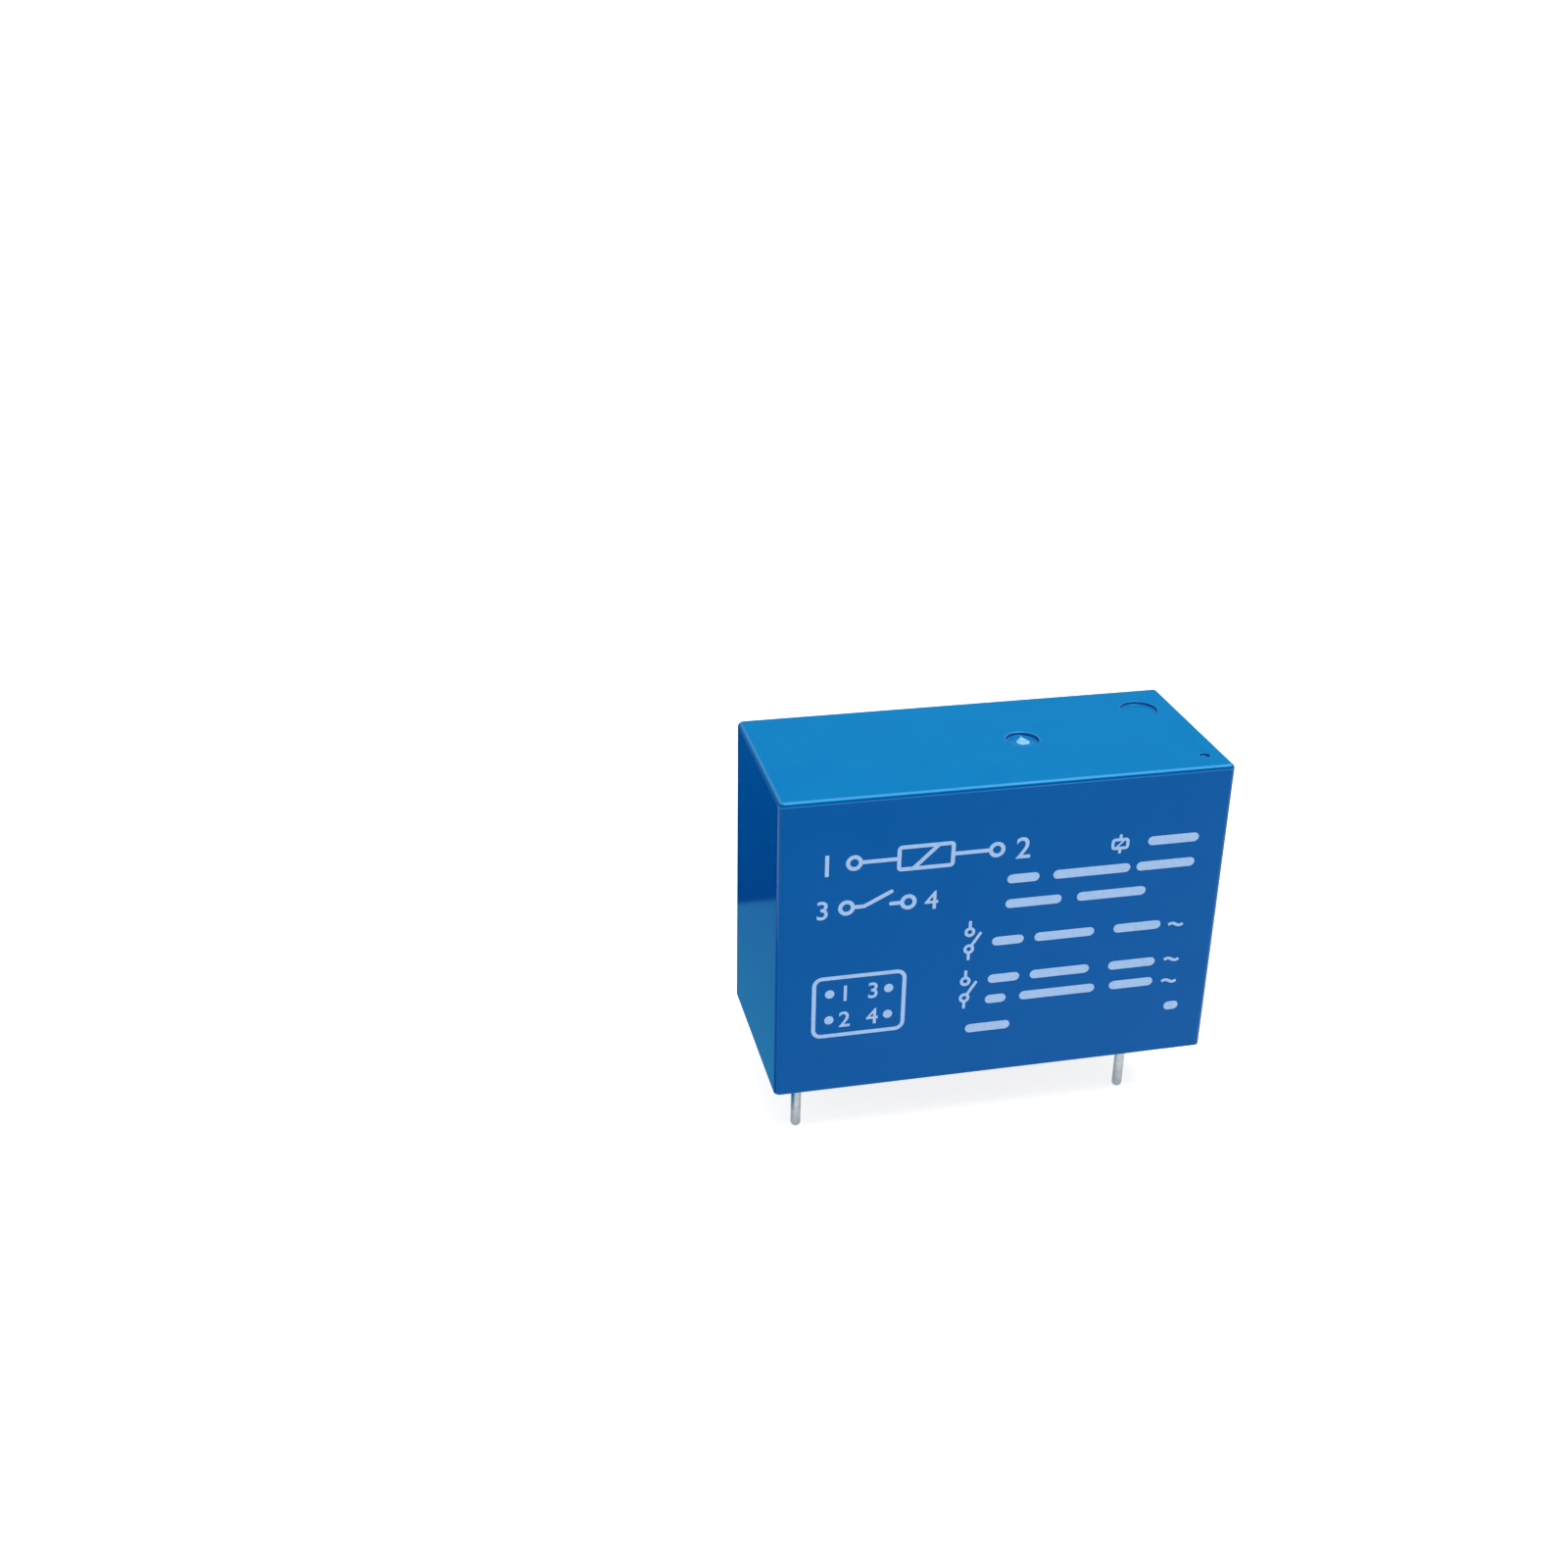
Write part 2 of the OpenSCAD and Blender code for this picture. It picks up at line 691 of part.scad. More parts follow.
// Leaf spring that carries the moving contact
module contact_spring() {
    tip_half = spring_tip_w / 2;
    foot_half = spring_foot_w / 2;
    color("#c98d5a")
        difference() {
            upright_plate(spring_x, spring_t) {
                translate([0, contact_z])
                    circle(tip_half);
                polygon([
                    [-foot_half, spring_foot_z],
                    [foot_half, spring_foot_z],
                    [foot_half, flex_z],
                    [tip_half, contact_z],
                    [-tip_half, contact_z],
                    [-foot_half, flex_z]
                ]);
            }
            bar_x(spring_x - cut, 0, contact_z, shank_d + 2 * hole_gap, spring_t + 2 * cut);
            for (side = [-1, 1])
                bar_x(spring_x - cut, side * rivet_pitch / 2, rivet_z, rivet_d + 2 * hole_gap,
                      spring_t + 2 * cut);
        }
}

// Silver contact rivet with a domed face, clinched through the spring
module moving_contact() {
    color("#d8d8d2")
        translate([spring_x, 0, contact_z])
            rotate([0, 90, 0])
                rotate_extrude() {
                    intersection() {
                        translate([0, spring_t])
                            square([contact_d / 2, head_t]);
                        translate([0, spring_t + head_t - dome_r])
                            circle(dome_r);
                    }
                    square([shank_d / 2, spring_t]);
                    translate([0, -clinch_t])
                        square([shank_d / 2 + clinch_t, clinch_t]);
                }
}

// Silver contact rivet with a flat face, clinched through the open terminal
module fixed_contact() {
    color("#d8d8d2") {
        bar_x(open_x - head_t, 0, contact_z, contact_d, head_t);
        bar_x(open_x - head_t / 2, 0, contact_z, shank_d, plate_t + head_t / 2 + clinch_t / 2);
        bar_x(open_x + plate_t, 0, contact_z, shank_d + 2 * clinch_t, clinch_t);
    }
}

// Two rivets that clamp the contact spring to the common terminal
module spring_rivets() {
    head_d = rivet_d + 2 * clinch_t;
    color("#c7a765")
        for (side = [-1, 1]) {
            y = side * rivet_pitch / 2;
            bar_x(common_x - clinch_t, y, rivet_z, head_d, clinch_t);
            bar_x(common_x - clinch_t / 2, y, rivet_z, rivet_d, plate_t + spring_t + clinch_t);
            bar_x(spring_x + spring_t, y, rivet_z, head_d, clinch_t);
        }
}

// Terminal of the moving contact: upright plate, foot along the base and pin
module common_terminal() {
    foot_half = spring_foot_w / 2;
    color("#cdb27a")
        union() {
            difference() {
                upright_plate(common_x, plate_t) {
                    translate([-foot_half, base_top])
                        square([spring_foot_w, common_h]);
                    translate([-pin_y - foot_w / 2, base_top])
                        square([pin_y, socket_h + plate_t]);
                }
                for (side = [-1, 1])
                    bar_x(common_x - cut, side * rivet_pitch / 2, rivet_z, rivet_d + 2 * hole_gap,
                          plate_t + 2 * cut);
            }
            span([common_x, -pin_y - foot_w / 2, base_top],
                 [contact_pin_x + foot_w / 2, -pin_y + foot_w / 2, base_top + plate_t]);
            pin_to(contact_pin_x, -pin_y, base_top + plate_t / 2);
        }
}

// Terminal of the fixed contact: tall upright plate and pin
module open_terminal() {
    tip_half = spring_tip_w / 2;
    color("#cdb27a")
        union() {
            difference() {
                upright_plate(open_x, plate_t) {
                    translate([-tip_half, base_top])
                        square([spring_tip_w, contact_z - base_top]);
                    translate([0, base_top])
                        square([pin_y + foot_w / 2, socket_h + plate_t]);
                    translate([0, contact_z])
                        circle(tip_half);
                }
                bar_x(open_x - cut, 0, contact_z, shank_d + 2 * hole_gap, plate_t + 2 * cut);
            }
            pin_to(contact_pin_x, pin_y, base_top + plate_t / 2);
        }
}

// Coil pin with its winding post on top
module coil_pin(side) {
    color("#b9bec2")
        pin_to(coil_pin_x, side * pin_y, lower_flange_top + post_h);
}

// Lead wire wound on a post and run across to the winding
module coil_lead(side) {
    r = shank_hole_r / cos(180 / turn_steps) + lead_d / 2;
    low = lower_flange_top + lead_d;
    pitch = lead_d + lead_gap;
    y = side * pin_y;
    out_deg = atan2(-y, coil_x - coil_pin_x);
    turns = [for (i = [0 : lead_turns * turn_steps])
        let (a = out_deg + side * 90 - side * 360 * (lead_turns - i / turn_steps))
            [coil_pin_x + r * cos(a), y + r * sin(a), low + pitch * i / turn_steps]];
    top = low + pitch * (lead_turns + 1);
    to_coil = [cos(out_deg), sin(out_deg), 0];
    across = side * [-sin(out_deg), cos(out_deg), 0];
    post = [coil_pin_x, y, top];
    reach = norm([coil_x - coil_pin_x, y]) - winding_d / 2 - lead_d;
    run_pieces = 4;
    run = [for (i = [1 : run_pieces])
        post + r * across + (reach * i / run_pieces) * to_coil];
    color("#b4622d")
        wire(concat(turns, run), lead_d);
}

module coil_pin_front() { coil_pin(-1); }
module coil_pin_rear() { coil_pin(1); }
module coil_lead_front() { coil_lead(-1); }
module coil_lead_rear() { coil_lead(1); }

cover();
sealing_resin();
base();
bobbin();
coil_winding();
core();
yoke();
armature();
return_spring();
push_card();
contact_spring();
moving_contact();
spring_rivets();
common_terminal();
open_terminal();
fixed_contact();
coil_pin_front();
coil_pin_rear();
coil_lead_front();
coil_lead_rear();
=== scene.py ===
"""Looks of a sealed power relay for circuit boards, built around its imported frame.

Sizes are in millimetres until they reach a mesh, where MM turns them into metres.
X runs along the length, Y from the printed front to the back, Z up from the cover's rim.
Colours are in linear light.
"""
import json
import math

import bmesh
import bpy
from mathutils import Matrix, Vector, noise


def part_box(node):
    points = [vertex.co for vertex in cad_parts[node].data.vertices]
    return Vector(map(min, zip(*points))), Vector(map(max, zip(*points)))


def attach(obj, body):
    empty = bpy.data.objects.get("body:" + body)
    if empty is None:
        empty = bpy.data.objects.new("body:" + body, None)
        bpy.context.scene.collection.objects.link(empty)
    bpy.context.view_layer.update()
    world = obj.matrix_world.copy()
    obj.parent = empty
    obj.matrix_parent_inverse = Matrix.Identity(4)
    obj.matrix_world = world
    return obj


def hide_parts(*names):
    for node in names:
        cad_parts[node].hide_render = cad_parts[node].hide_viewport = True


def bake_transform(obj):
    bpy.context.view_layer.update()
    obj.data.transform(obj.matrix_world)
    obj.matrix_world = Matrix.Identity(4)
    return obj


MM = 0.001
TAU = 2 * math.pi

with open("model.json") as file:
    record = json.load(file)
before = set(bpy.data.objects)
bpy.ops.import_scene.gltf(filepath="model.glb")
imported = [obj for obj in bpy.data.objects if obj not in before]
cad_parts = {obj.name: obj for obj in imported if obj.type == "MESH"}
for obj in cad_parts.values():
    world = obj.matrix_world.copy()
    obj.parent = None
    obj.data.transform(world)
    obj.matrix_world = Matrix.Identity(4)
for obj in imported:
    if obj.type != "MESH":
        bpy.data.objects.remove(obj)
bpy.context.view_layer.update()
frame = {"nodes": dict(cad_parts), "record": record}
scene = bpy.context.scene


# Sizes that the frame gives


def node_box(name):
    """Lowest and highest corner of a node, in millimetres."""
    low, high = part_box(name)
    return Vector(low) / MM, Vector(high) / MM


cover_low, cover_high = node_box("cover")
resin_low, resin_high = node_box("sealing_resin")
floor_z = node_box("coil_pin_front")[0].z


def find_pins():
    """Places of the four pins, from the frame's pin mount."""
    mount = next(m for m in frame["record"]["mounts"] if m["name"] == "pcb_pins")
    middle = Vector(mount["pos_m"]) / MM
    reach_x, reach_y = mount["dims"]["spacing_x_mm"] / 2, mount["dims"]["spacing_y_mm"] / 2
    return [(middle.x + i * reach_x, middle.y + j * reach_y) for i in (-1, 1) for j in (-1, 1)]


# Camera, light and stage

CAMERA = {"eye": (-35.92, -99.40, 67.89), "forward": (0.20454, 0.87771, -0.43334),
          "right": (0.97536, -0.22014, 0.0145), "lens": 41.874, "sensor": 36, "clip_start": 0.001}
KEY_LIGHT = {"towards": (0.25, -0.2, 0.95), "strength": 2.6, "angle_deg": 45, "colour": (1, 1, 1)}
WORLD_TONE = (0.465, 0.485, 0.5)
WORLD_GLOSS_TONE = (0.1, 0.29, 0.35)
FLOOR = {"r": 8000, "sides": 96}
CARD = {"left": -40.0, "right": -14.8, "front": -8.0, "back": 25.2, "height": 24.0, "lift": 0.05}

# Cover: walls, round edges and the marks on its top

CORNER_R = 0.4
TOP_EDGE_R = 0.35
TOP_CORNER_R = 0.04
RIM_EDGE_R = 0.09
INNER_CORNER_R = 0.1
ROOF_T = 0.9
RIM_STEPS, TOP_STEPS = 4, 10
RECESS_RIM_STEPS, RECESS_FLOOR_STEPS = 5, 4
GATE = {"x": 2.72, "y": 0.0, "r": 1.0, "depth": 0.25, "rim_r": 0.2, "floor_r": 0.06}
MARK = {"x": cover_high.x - 2.62, "y": cover_high.y - 3.22, "r": 1.2, "depth": 0.2,
        "rim_r": 0.08, "floor_r": 0.08}
VENT = {"x": cover_high.x - 1.4, "y": cover_low.y + 1.75, "r": 0.3, "depth": 0.2,
        "rim_r": 0.06, "floor_r": 0.1}
NUB = {"foot_r": 0.66, "tip_r": 0.6, "step": 0.06, "fillet": ((0.15, 0.0), (0.05, 0.01), (0.0, 0.03))}
SCAR = {"y": -0.22, "r": 0.5, "front": -0.52, "peak_x": 0.03, "rise_y": 0.62, "sunk": 0.02,
        "below_top": 0.01, "taper": 1.2, "ragged": 0.04, "grain": 5.0, "grain_up": 3.0,
        "sides": 32, "levels": 8}

# Print on the front face: u runs right from its left edge and v up from the rim

INK_T = 0.012
INK_STEP = 0.001
INK_LAYERS = 8
LINE = 0.26
FINE_LINE = 0.2
BAR_H = 0.62
TERMINAL_R = 0.4
NUMERAL = {"share_of_size": 0.73, "bold": 0.02, "resolution": 6}
COIL_LINE = {"v": 16.25, "height": 1.5, "numerals": (3.0, 15.4), "terminals": (4.7, 13.7),
             "coil": (7.5, 10.9), "slash": (8.4, 10.0), "corner_r": 0.17}
CONTACT_LINE = {"v": 13.2, "height": 1.3, "numerals": (2.8, 9.7), "terminals": (4.3, 8.2),
                "blade": (5.4, 7.1), "rise": 0.85}
PIN_PLAN = {"u": (2.4, 8.2), "v": (4.1, 8.3), "corner_r": 0.5, "inset_u": 1.0, "inset_v": 1.15,
            "dot_r": 0.3, "to_numeral": 1.0, "height": 1.15}
CONTACT_SIGN = {"r": 0.25, "gap": 1.23, "lead": 0.46, "blade": ((0.14, 0.21), (0.7, 1.08)),
                "places": ((12.3, 9.98), (12.21, 6.41))}
COIL_SIGN = {"u": 21.76, "v": 15.83, "half_u": 0.49, "half_v": 0.3, "lead": 0.28, "corner_r": 0.15,
             "slash_u": 0.3, "slash_line": 0.12}
WAVE = {"u": 26.14, "levels": (9.61, 7.01, 5.38), "length": 1.0, "height": 0.18}
BARS = (
    (15.83, ((23.6, 27.0),)),
    (14.1, ((14.5, 16.6), (17.5, 22.6), (23.0, 26.9))),
    (12.35, ((14.5, 18.2), (19.2, 23.8))),
    (9.73, ((13.8, 15.9), (16.6, 20.6), (21.9, 25.1))),
    (7.0, ((13.7, 15.8), (16.5, 20.5), (21.8, 25.0))),
    (5.5, ((13.6, 15.0), (15.9, 21.0), (22.0, 25.0))),
    (3.45, ((12.4, 15.4), (26.0, 27.0))),
)

# Underside and springs

PIN_R = 0.325
SHANK_R = 0.525
SHOULDER_DROP = 0.2
TIN = {"coat": 0.006, "uneven": 0.004, "grain": 0.6, "grain_up": 0.7, "grain_shift": 7.3,
       "sides": 24, "tip_steps": 8, "steps": 36}
RESIN_RECESS = 0.35
RESIN = {"wall_climb": 0.22, "wall_reach": 0.32, "mound_reach": 0.36, "mound_power": 1.3,
         "columns": 200, "rows": 84}
RESIN_WAVES = ({"depth": 0.05, "grain": (0.35, 0.45), "shift": 3.0},
               {"depth": 0.012, "grain": (1.7, 1.7), "shift": 8.0})
LEAF = {"tip_half": 0.2, "rows": 64, "across": 16}
COIL = {"wire": 0.2, "turns": 18, "steps": 24, "from_yoke": 0.6, "tab_h": 0.8, "neck": 0.6,
        "hook": 1.2, "wire_steps": 3}

# Edges sharper than these angles, in degrees, stay sharp in shading

SHARP = {"cover": 40, "scar": 25, "ink": 30, "resin": 50, "tin": 60, "leaf": 40}

# Share of its range that a noise texture mostly takes

NOISE_LOW, NOISE_HIGH = 0.3, 0.7


# Materials


class Nodes:
    """Short names for building one material's node tree."""

    def __init__(self, name):
        self.material = bpy.data.materials.new(name)
        self.material.use_nodes = True
        self.tree = self.material.node_tree
        self.shader = self.tree.nodes["Principled BSDF"]
        coordinates = self.add("ShaderNodeTexCoord").outputs
        self.place = coordinates["Object"]
        self.facing = coordinates["Normal"]

    def add(self, kind, **settings):
        """New node with its settings."""
        node = self.tree.nodes.new(kind)
        for key, value in settings.items():
            setattr(node, key, value)
        return node

    def link(self, output, socket):
        """Wire between two nodes."""
        self.tree.links.new(output, socket)

    def set(self, **values):
        """Sets the shader's own sockets; a name's underscores stand for spaces."""
        for key, value in values.items():
            self.shader.inputs[key.replace("_", " ")].default_value = value

    def split(self, vector):
        """The X, Y and Z of a vector."""
        node = self.add("ShaderNodeSeparateXYZ")
        self.link(vector, node.inputs["Vector"])
        return node.outputs

    def stretched(self, stretch):
        """Object coordinates in millimetres, scaled on each axis."""
        mapping = self.add("ShaderNodeMapping")
        mapping.inputs["Scale"].default_value = [s / MM for s in stretch]
        self.link(self.place, mapping.inputs["Vector"])
        return mapping.outputs["Vector"]

    def noise(self, scale, detail=3.0, rough=0.5, stretch=(1, 1, 1), distortion=0.0):
        """Noise with about scale features in each millimetre."""
        node = self.add("ShaderNodeTexNoise")
        node.inputs["Scale"].default_value = scale
        node.inputs["Detail"].default_value = detail
        node.inputs["Roughness"].default_value = rough
        node.inputs["Distortion"].default_value = distortion
        self.link(self.stretched(stretch), node.inputs["Vector"])
        return node.outputs["Fac"]

    def ramp(self, factor, *stops):
        """Colour ramp with stops of a position and a colour."""
        node = self.add("ShaderNodeValToRGB")
        points = node.color_ramp.elements
        while len(points) < len(stops):
            points.new(0.5)
        for point, (position, colour) in zip(points, stops):
            point.position = position
            point.color = (*colour, 1)
        self.link(factor, node.inputs["Fac"])
        return node.outputs["Color"]

    def two_tone(self, noise_value, dark, light):
        """Clouds between two tones."""
        return self.ramp(noise_value, (NOISE_LOW, dark), (NOISE_HIGH, light))

    def remap(self, value, low, high, to_low=0.0, to_high=1.0):
        """A value moved from one range to another."""
        node = self.add("ShaderNodeMapRange")
        bounds = (low, high, to_low, to_high)
        for key, number in zip(("From Min", "From Max", "To Min", "To Max"), bounds):
            node.inputs[key].default_value = number
        self.link(value, node.inputs["Value"])
        return node.outputs["Result"]

    def uneven(self, scale, detail, low, high):
        """A value that wanders between two limits."""
        return self.remap(self.noise(scale, detail), NOISE_LOW, NOISE_HIGH, low, high)

    def total(self, first, second):
        """Sum of two values."""
        node = self.add("ShaderNodeMath", operation="ADD")
        for socket, value in zip(node.inputs, (first, second)):
            self.link(value, socket)
        return node.outputs["Value"]

    def mix(self, factor, first, second):
        """Colour between two colours."""
        node = self.add("ShaderNodeMix", data_type="RGBA")
        self.link(factor, node.inputs["Factor"])
        self.link(first, node.inputs["A"])
        self.link(second, node.inputs["B"])
        return node.outputs["Result"]

    def colour(self, output):
        """Links the shader's colour."""
        self.link(output, self.shader.inputs["Base Color"])

    def roughness(self, output):
        """Links the shader's roughness."""
        self.link(output, self.shader.inputs["Roughness"])

    def bump(self, height, depth):
        """Relief of a depth in millimetres, on top of any relief already there."""
        node = self.add("ShaderNodeBump")
        node.inputs["Strength"].default_value = 1.0
        node.inputs["Distance"].default_value = depth * MM
        self.link(height, node.inputs["Height"])
        before = self.shader.inputs["Normal"]
        if before.is_linked:
            self.link(before.links[0].from_socket, node.inputs["Normal"])
        self.link(node.outputs["Normal"], before)


def cover_tone(n):
    """The cover's colour, with painted light: deep on its sides, a paler copy on its top for light from
    above, and painted highlight bands along its rounded edges.
    """
    cloud = n.noise(scale=0.25, detail=3)
    sides = n.two_tone(cloud, dark=(0.0, 0.043, 0.232), light=(0.0005, 0.047, 0.245))
    # Painted light: the top is a paler copy of the blue, standing in for light from above.
    top = n.two_tone(cloud, dark=(0.0004, 0.174, 0.455), light=(0.0008, 0.184, 0.47))
    # Painted highlight: pale bands along the rounded edges stand in for the light they catch.
    painted_edge_highlight = n.two_tone(cloud, dark=(0.06, 0.25, 0.53), light=(0.08, 0.28, 0.56))
    upward = n.split(n.facing)["Z"]
    plain = n.mix(n.remap(upward, low=0.4, high=0.9), sides, top)
    edge_highlight_stops = ((0.05, 0.0), (0.14, 0.3), (0.28, 0.3), (0.4, 0.0),
            (0.66, 0.0), (0.8, 0.6), (0.94, 0.6), (0.99, 0.0))
    edge_highlight_mask = n.ramp(upward, *[(position, (share, share, share)) for position, share in edge_highlight_stops])
    return n.mix(edge_highlight_mask, plain, painted_edge_highlight)


def cover_plastic():
    """Glossy moulded plastic with orange peel and fine scratches."""
    n = Nodes("cover_plastic")
    n.set(IOR=1.4, Specular_Tint=(0.05, 0.85, 1.0, 1))
    # The colour carries painted light: a paler top and painted highlights along the edges.
    n.colour(cover_tone(n))
    scratches = n.noise(scale=2.2, detail=2, rough=0.6, stretch=(0.12, 4.0, 4.0))
    scratched = n.remap(scratches, low=0.62, high=0.72, to_low=0.0, to_high=0.04)
    n.roughness(n.total(n.uneven(scale=0.8, detail=4, low=0.07, high=0.11), scratched))
    n.bump(n.noise(scale=3.5, detail=2), depth=0.00015)
    n.bump(n.noise(scale=0.35, detail=1), depth=0.003)
    return n.material


def torn_plastic():
    """Painted glint: pale plastic colour on the broken-off gate's tip, standing in for the light it
    catches.
    """
    n = Nodes("torn_plastic")
    n.set(IOR=1.4, Specular_IOR_Level=0.4)
    glint_cloud = n.noise(scale=5.0, detail=4, rough=0.6)
    # Painted glint: pale blue-white tones for the light caught on the tip.
    n.colour(n.ramp(glint_cloud, (0.3, (0.14, 0.42, 0.74)), (0.62, (0.26, 0.58, 0.85))))
    n.roughness(n.uneven(scale=9.0, detail=3, low=0.45, high=0.7))
    n.bump(n.noise(scale=14.0, detail=3), depth=0.01)
    return n.material


def print_ink():
    """Pale pad-printed ink, a little thin in places."""
    n = Nodes("print_ink")
    n.set(IOR=1.45, Specular_IOR_Level=0.3)
    thin = n.noise(scale=2.4, detail=4, rough=0.6)
    n.colour(n.ramp(thin, (0.25, (0.22, 0.345, 0.56)), (0.45, (0.26, 0.39, 0.6)),
                    (0.75, (0.285, 0.415, 0.63))))
    n.roughness(n.uneven(scale=4.0, detail=3, low=0.42, high=0.6))
    n.bump(n.noise(scale=9.0, detail=2), depth=0.0015)
    return n.material


def resin():
    """Dark poured resin with brownish streaks, glossy where it lies thick."""
    n = Nodes("sealing_resin")
    n.set(IOR=1.54)
    streak = n.noise(scale=0.55, detail=5, rough=0.6, stretch=(0.6, 1, 1), distortion=0.8)
    n.colour(n.ramp(streak, (0.3, (0.016, 0.016, 0.023)), (0.52, (0.03, 0.027, 0.034)),
                    (0.66, (0.05, 0.032, 0.03)), (0.8, (0.028, 0.026, 0.032))))
    n.roughness(n.uneven(scale=1.1, detail=4, low=0.2, high=0.42))
    n.bump(n.noise(scale=1.4, detail=3), depth=0.02)
    n.bump(n.noise(scale=12.0, detail=2), depth=0.002)
    return n.material


def metal(name, dark, light, rough, grain=(1, 1, 1), grain_depth=0.002):
    """Metal between two tones, with a drawn or rolled grain."""
    n = Nodes(name)
    n.set(Metallic=1.0)
    n.colour(n.two_tone(n.noise(scale=1.5, detail=4, rough=0.6), dark, light))
    n.roughness(n.uneven(scale=2.5, detail=4, low=rough[0], high=rough[1]))
    n.bump(n.noise(scale=6.0, detail=3, stretch=grain), grain_depth)
    return n.material


def moulded(name, dark, light, rough, relief=0.003):
    """Plain moulded plastic with faint clouding and a fine eroded texture."""
    n = Nodes(name)
    n.set(IOR=1.5)
    n.colour(n.two_tone(n.noise(scale=0.5, detail=4), dark, light))
    n.roughness(n.uneven(scale=3.0, detail=3, low=rough[0], high=rough[1]))
    n.bump(n.noise(scale=8.0, detail=3), relief)
    return n.material


def enamelled_copper():
    """Copper wire under a clear reddish enamel."""
    n = Nodes("copper_wire")
    n.set(Metallic=0.85, Coat_Weight=0.6, Coat_Roughness=0.12)
    n.colour(n.two_tone(n.noise(scale=3.0, detail=4), dark=(0.42, 0.12, 0.035), light=(0.6, 0.21, 0.07)))
    n.roughness(n.uneven(scale=5.0, detail=3, low=0.22, high=0.38))
    n.bump(n.noise(scale=10.0, detail=2), depth=0.002)
    return n.material


def floor_material():
    """Pale matt floor, softly lit from below like a light table."""
    n = Nodes("studio_floor")
    n.set(IOR=1.4, Specular_IOR_Level=0.1, Emission_Color=(1, 1, 1, 1), Emission_Strength=0.75)
    n.colour(n.two_tone(n.noise(scale=0.02, detail=2), dark=(0.79, 0.79, 0.79), light=(0.81, 0.81, 0.81)))
    n.roughness(n.uneven(scale=0.5, detail=2, low=0.7, high=0.8))
    return n.material


def card_material():
    """Glowing card and sheet that paint a reflection: a dark card on a teal sheet that fades towards it.
    """
    n = Nodes("glossy_reflection_card")
    n.set(Base_Color=(0, 0, 0, 1), Specular_IOR_Level=0.0, Emission_Strength=1.0)
    place = n.split(n.stretched((1, 1, 1)))
    backward, upward = place["Y"], place["Z"]
    teal_glow_sheet = n.ramp(n.remap(backward, CARD["front"], CARD["back"]),
                   (0.3, (0.06, 0.41, 0.64)), (1.0, (0.05, 0.31, 0.56)))
    card = n.ramp(n.remap(upward, 0.0, CARD["height"]),
                  (0.0, (0.0, 0.055, 0.2)), (0.7, (0.0, 0.13, 0.34)))
    shade = n.mix(n.remap(upward, low=0.1, high=0.6), teal_glow_sheet, card)
    # Both glow: seen only in gloss, they paint a reflection on the coil end, dark above and teal below.
    n.link(shade, n.shader.inputs["Emission Color"])
    return n.material


MATERIALS = {
    "cover_plastic": cover_plastic(),
    "sealing_resin": resin(),
    "base_plastic": moulded("base_plastic", (0.035, 0.034, 0.032), (0.05, 0.047, 0.043), (0.4, 0.55)),
    "bobbin_plastic": moulded("bobbin_plastic", (0.62, 0.58, 0.47), (0.72, 0.68, 0.57), (0.38, 0.52)),
    "copper_wire": enamelled_copper(),
    "soft_iron": metal("soft_iron", (0.4, 0.41, 0.43), (0.53, 0.54, 0.55), (0.26, 0.4),
                       grain=(0.2, 1, 3)),
    "spring_steel": metal("spring_steel", (0.5, 0.5, 0.51), (0.64, 0.64, 0.65), (0.18, 0.3)),
    "card_plastic": moulded("card_plastic", (0.78, 0.76, 0.68), (0.86, 0.84, 0.77), (0.36, 0.5)),
    "spring_bronze": metal("spring_bronze", (0.55, 0.3, 0.13), (0.66, 0.38, 0.18), (0.2, 0.32),
                           grain=(1, 4, 0.2)),
    "contact_silver": metal("contact_silver", (0.7, 0.7, 0.67), (0.8, 0.8, 0.77), (0.2, 0.34)),
    "rivet_brass": metal("rivet_brass", (0.56, 0.39, 0.14), (0.66, 0.47, 0.19), (0.24, 0.36)),
    "tinned_copper": metal("tinned_copper", (0.28, 0.31, 0.33), (0.38, 0.41, 0.43), (0.22, 0.34),
                           grain=(1, 1, 0.2), grain_depth=0.001),
}
INK = print_ink()
GATE_GLINT = torn_plastic()


# Mesh helpers


def make_object(name, bm, material):
    """Turns a finished bmesh, in millimetres, into an object of the scene."""
    bmesh.ops.scale(bm, vec=(MM, MM, MM), verts=bm.verts)
    mesh = bpy.data.meshes.new(name)
    bm.to_mesh(mesh)
    bm.free()
    mesh.materials.append(material)
    made = bpy.data.objects.new(name, mesh)
    scene.collection.objects.link(made)
    return made


def add_piece(name, bm, slot, material=None, body="frame"):
    """Turns a finished bmesh, in millimetres, into a smooth piece that rides on a body."""
    bmesh.ops.recalc_face_normals(bm, faces=bm.faces)
    piece = make_object(name, bm, material or MATERIALS[slot])
    piece.data.shade_smooth()
    if body:
        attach(piece, body)
    return piece


def sharpen(piece, kind):
    """Keeps a piece's sharp edges sharp in shading."""
    piece.data.set_sharp_from_angle(angle=math.radians(SHARP[kind]))


def weigh_normals(piece):
    """Keeps flat faces flat in shading and their rounded edges smooth."""
    modifier = piece.modifiers.new("weighted_normals", "WEIGHTED_NORMAL")
    modifier.keep_sharp = True
    modifier.weight = 100


def ring(bm, points):
    """Vertices of one closed loop."""
    return [bm.verts.new(p) for p in points]


def bridge(bm, first, second):
    """Quads between two loops of as many points."""
    count = len(first)
    for i in range(count):
        j = (i + 1) % count
        bm.faces.new((first[i], first[j], second[j], second[i]))


def bridge_all(bm, loops):
    """Quads between each loop and the next."""
    for first, second in zip(loops, loops[1:]):
        bridge(bm, first, second)


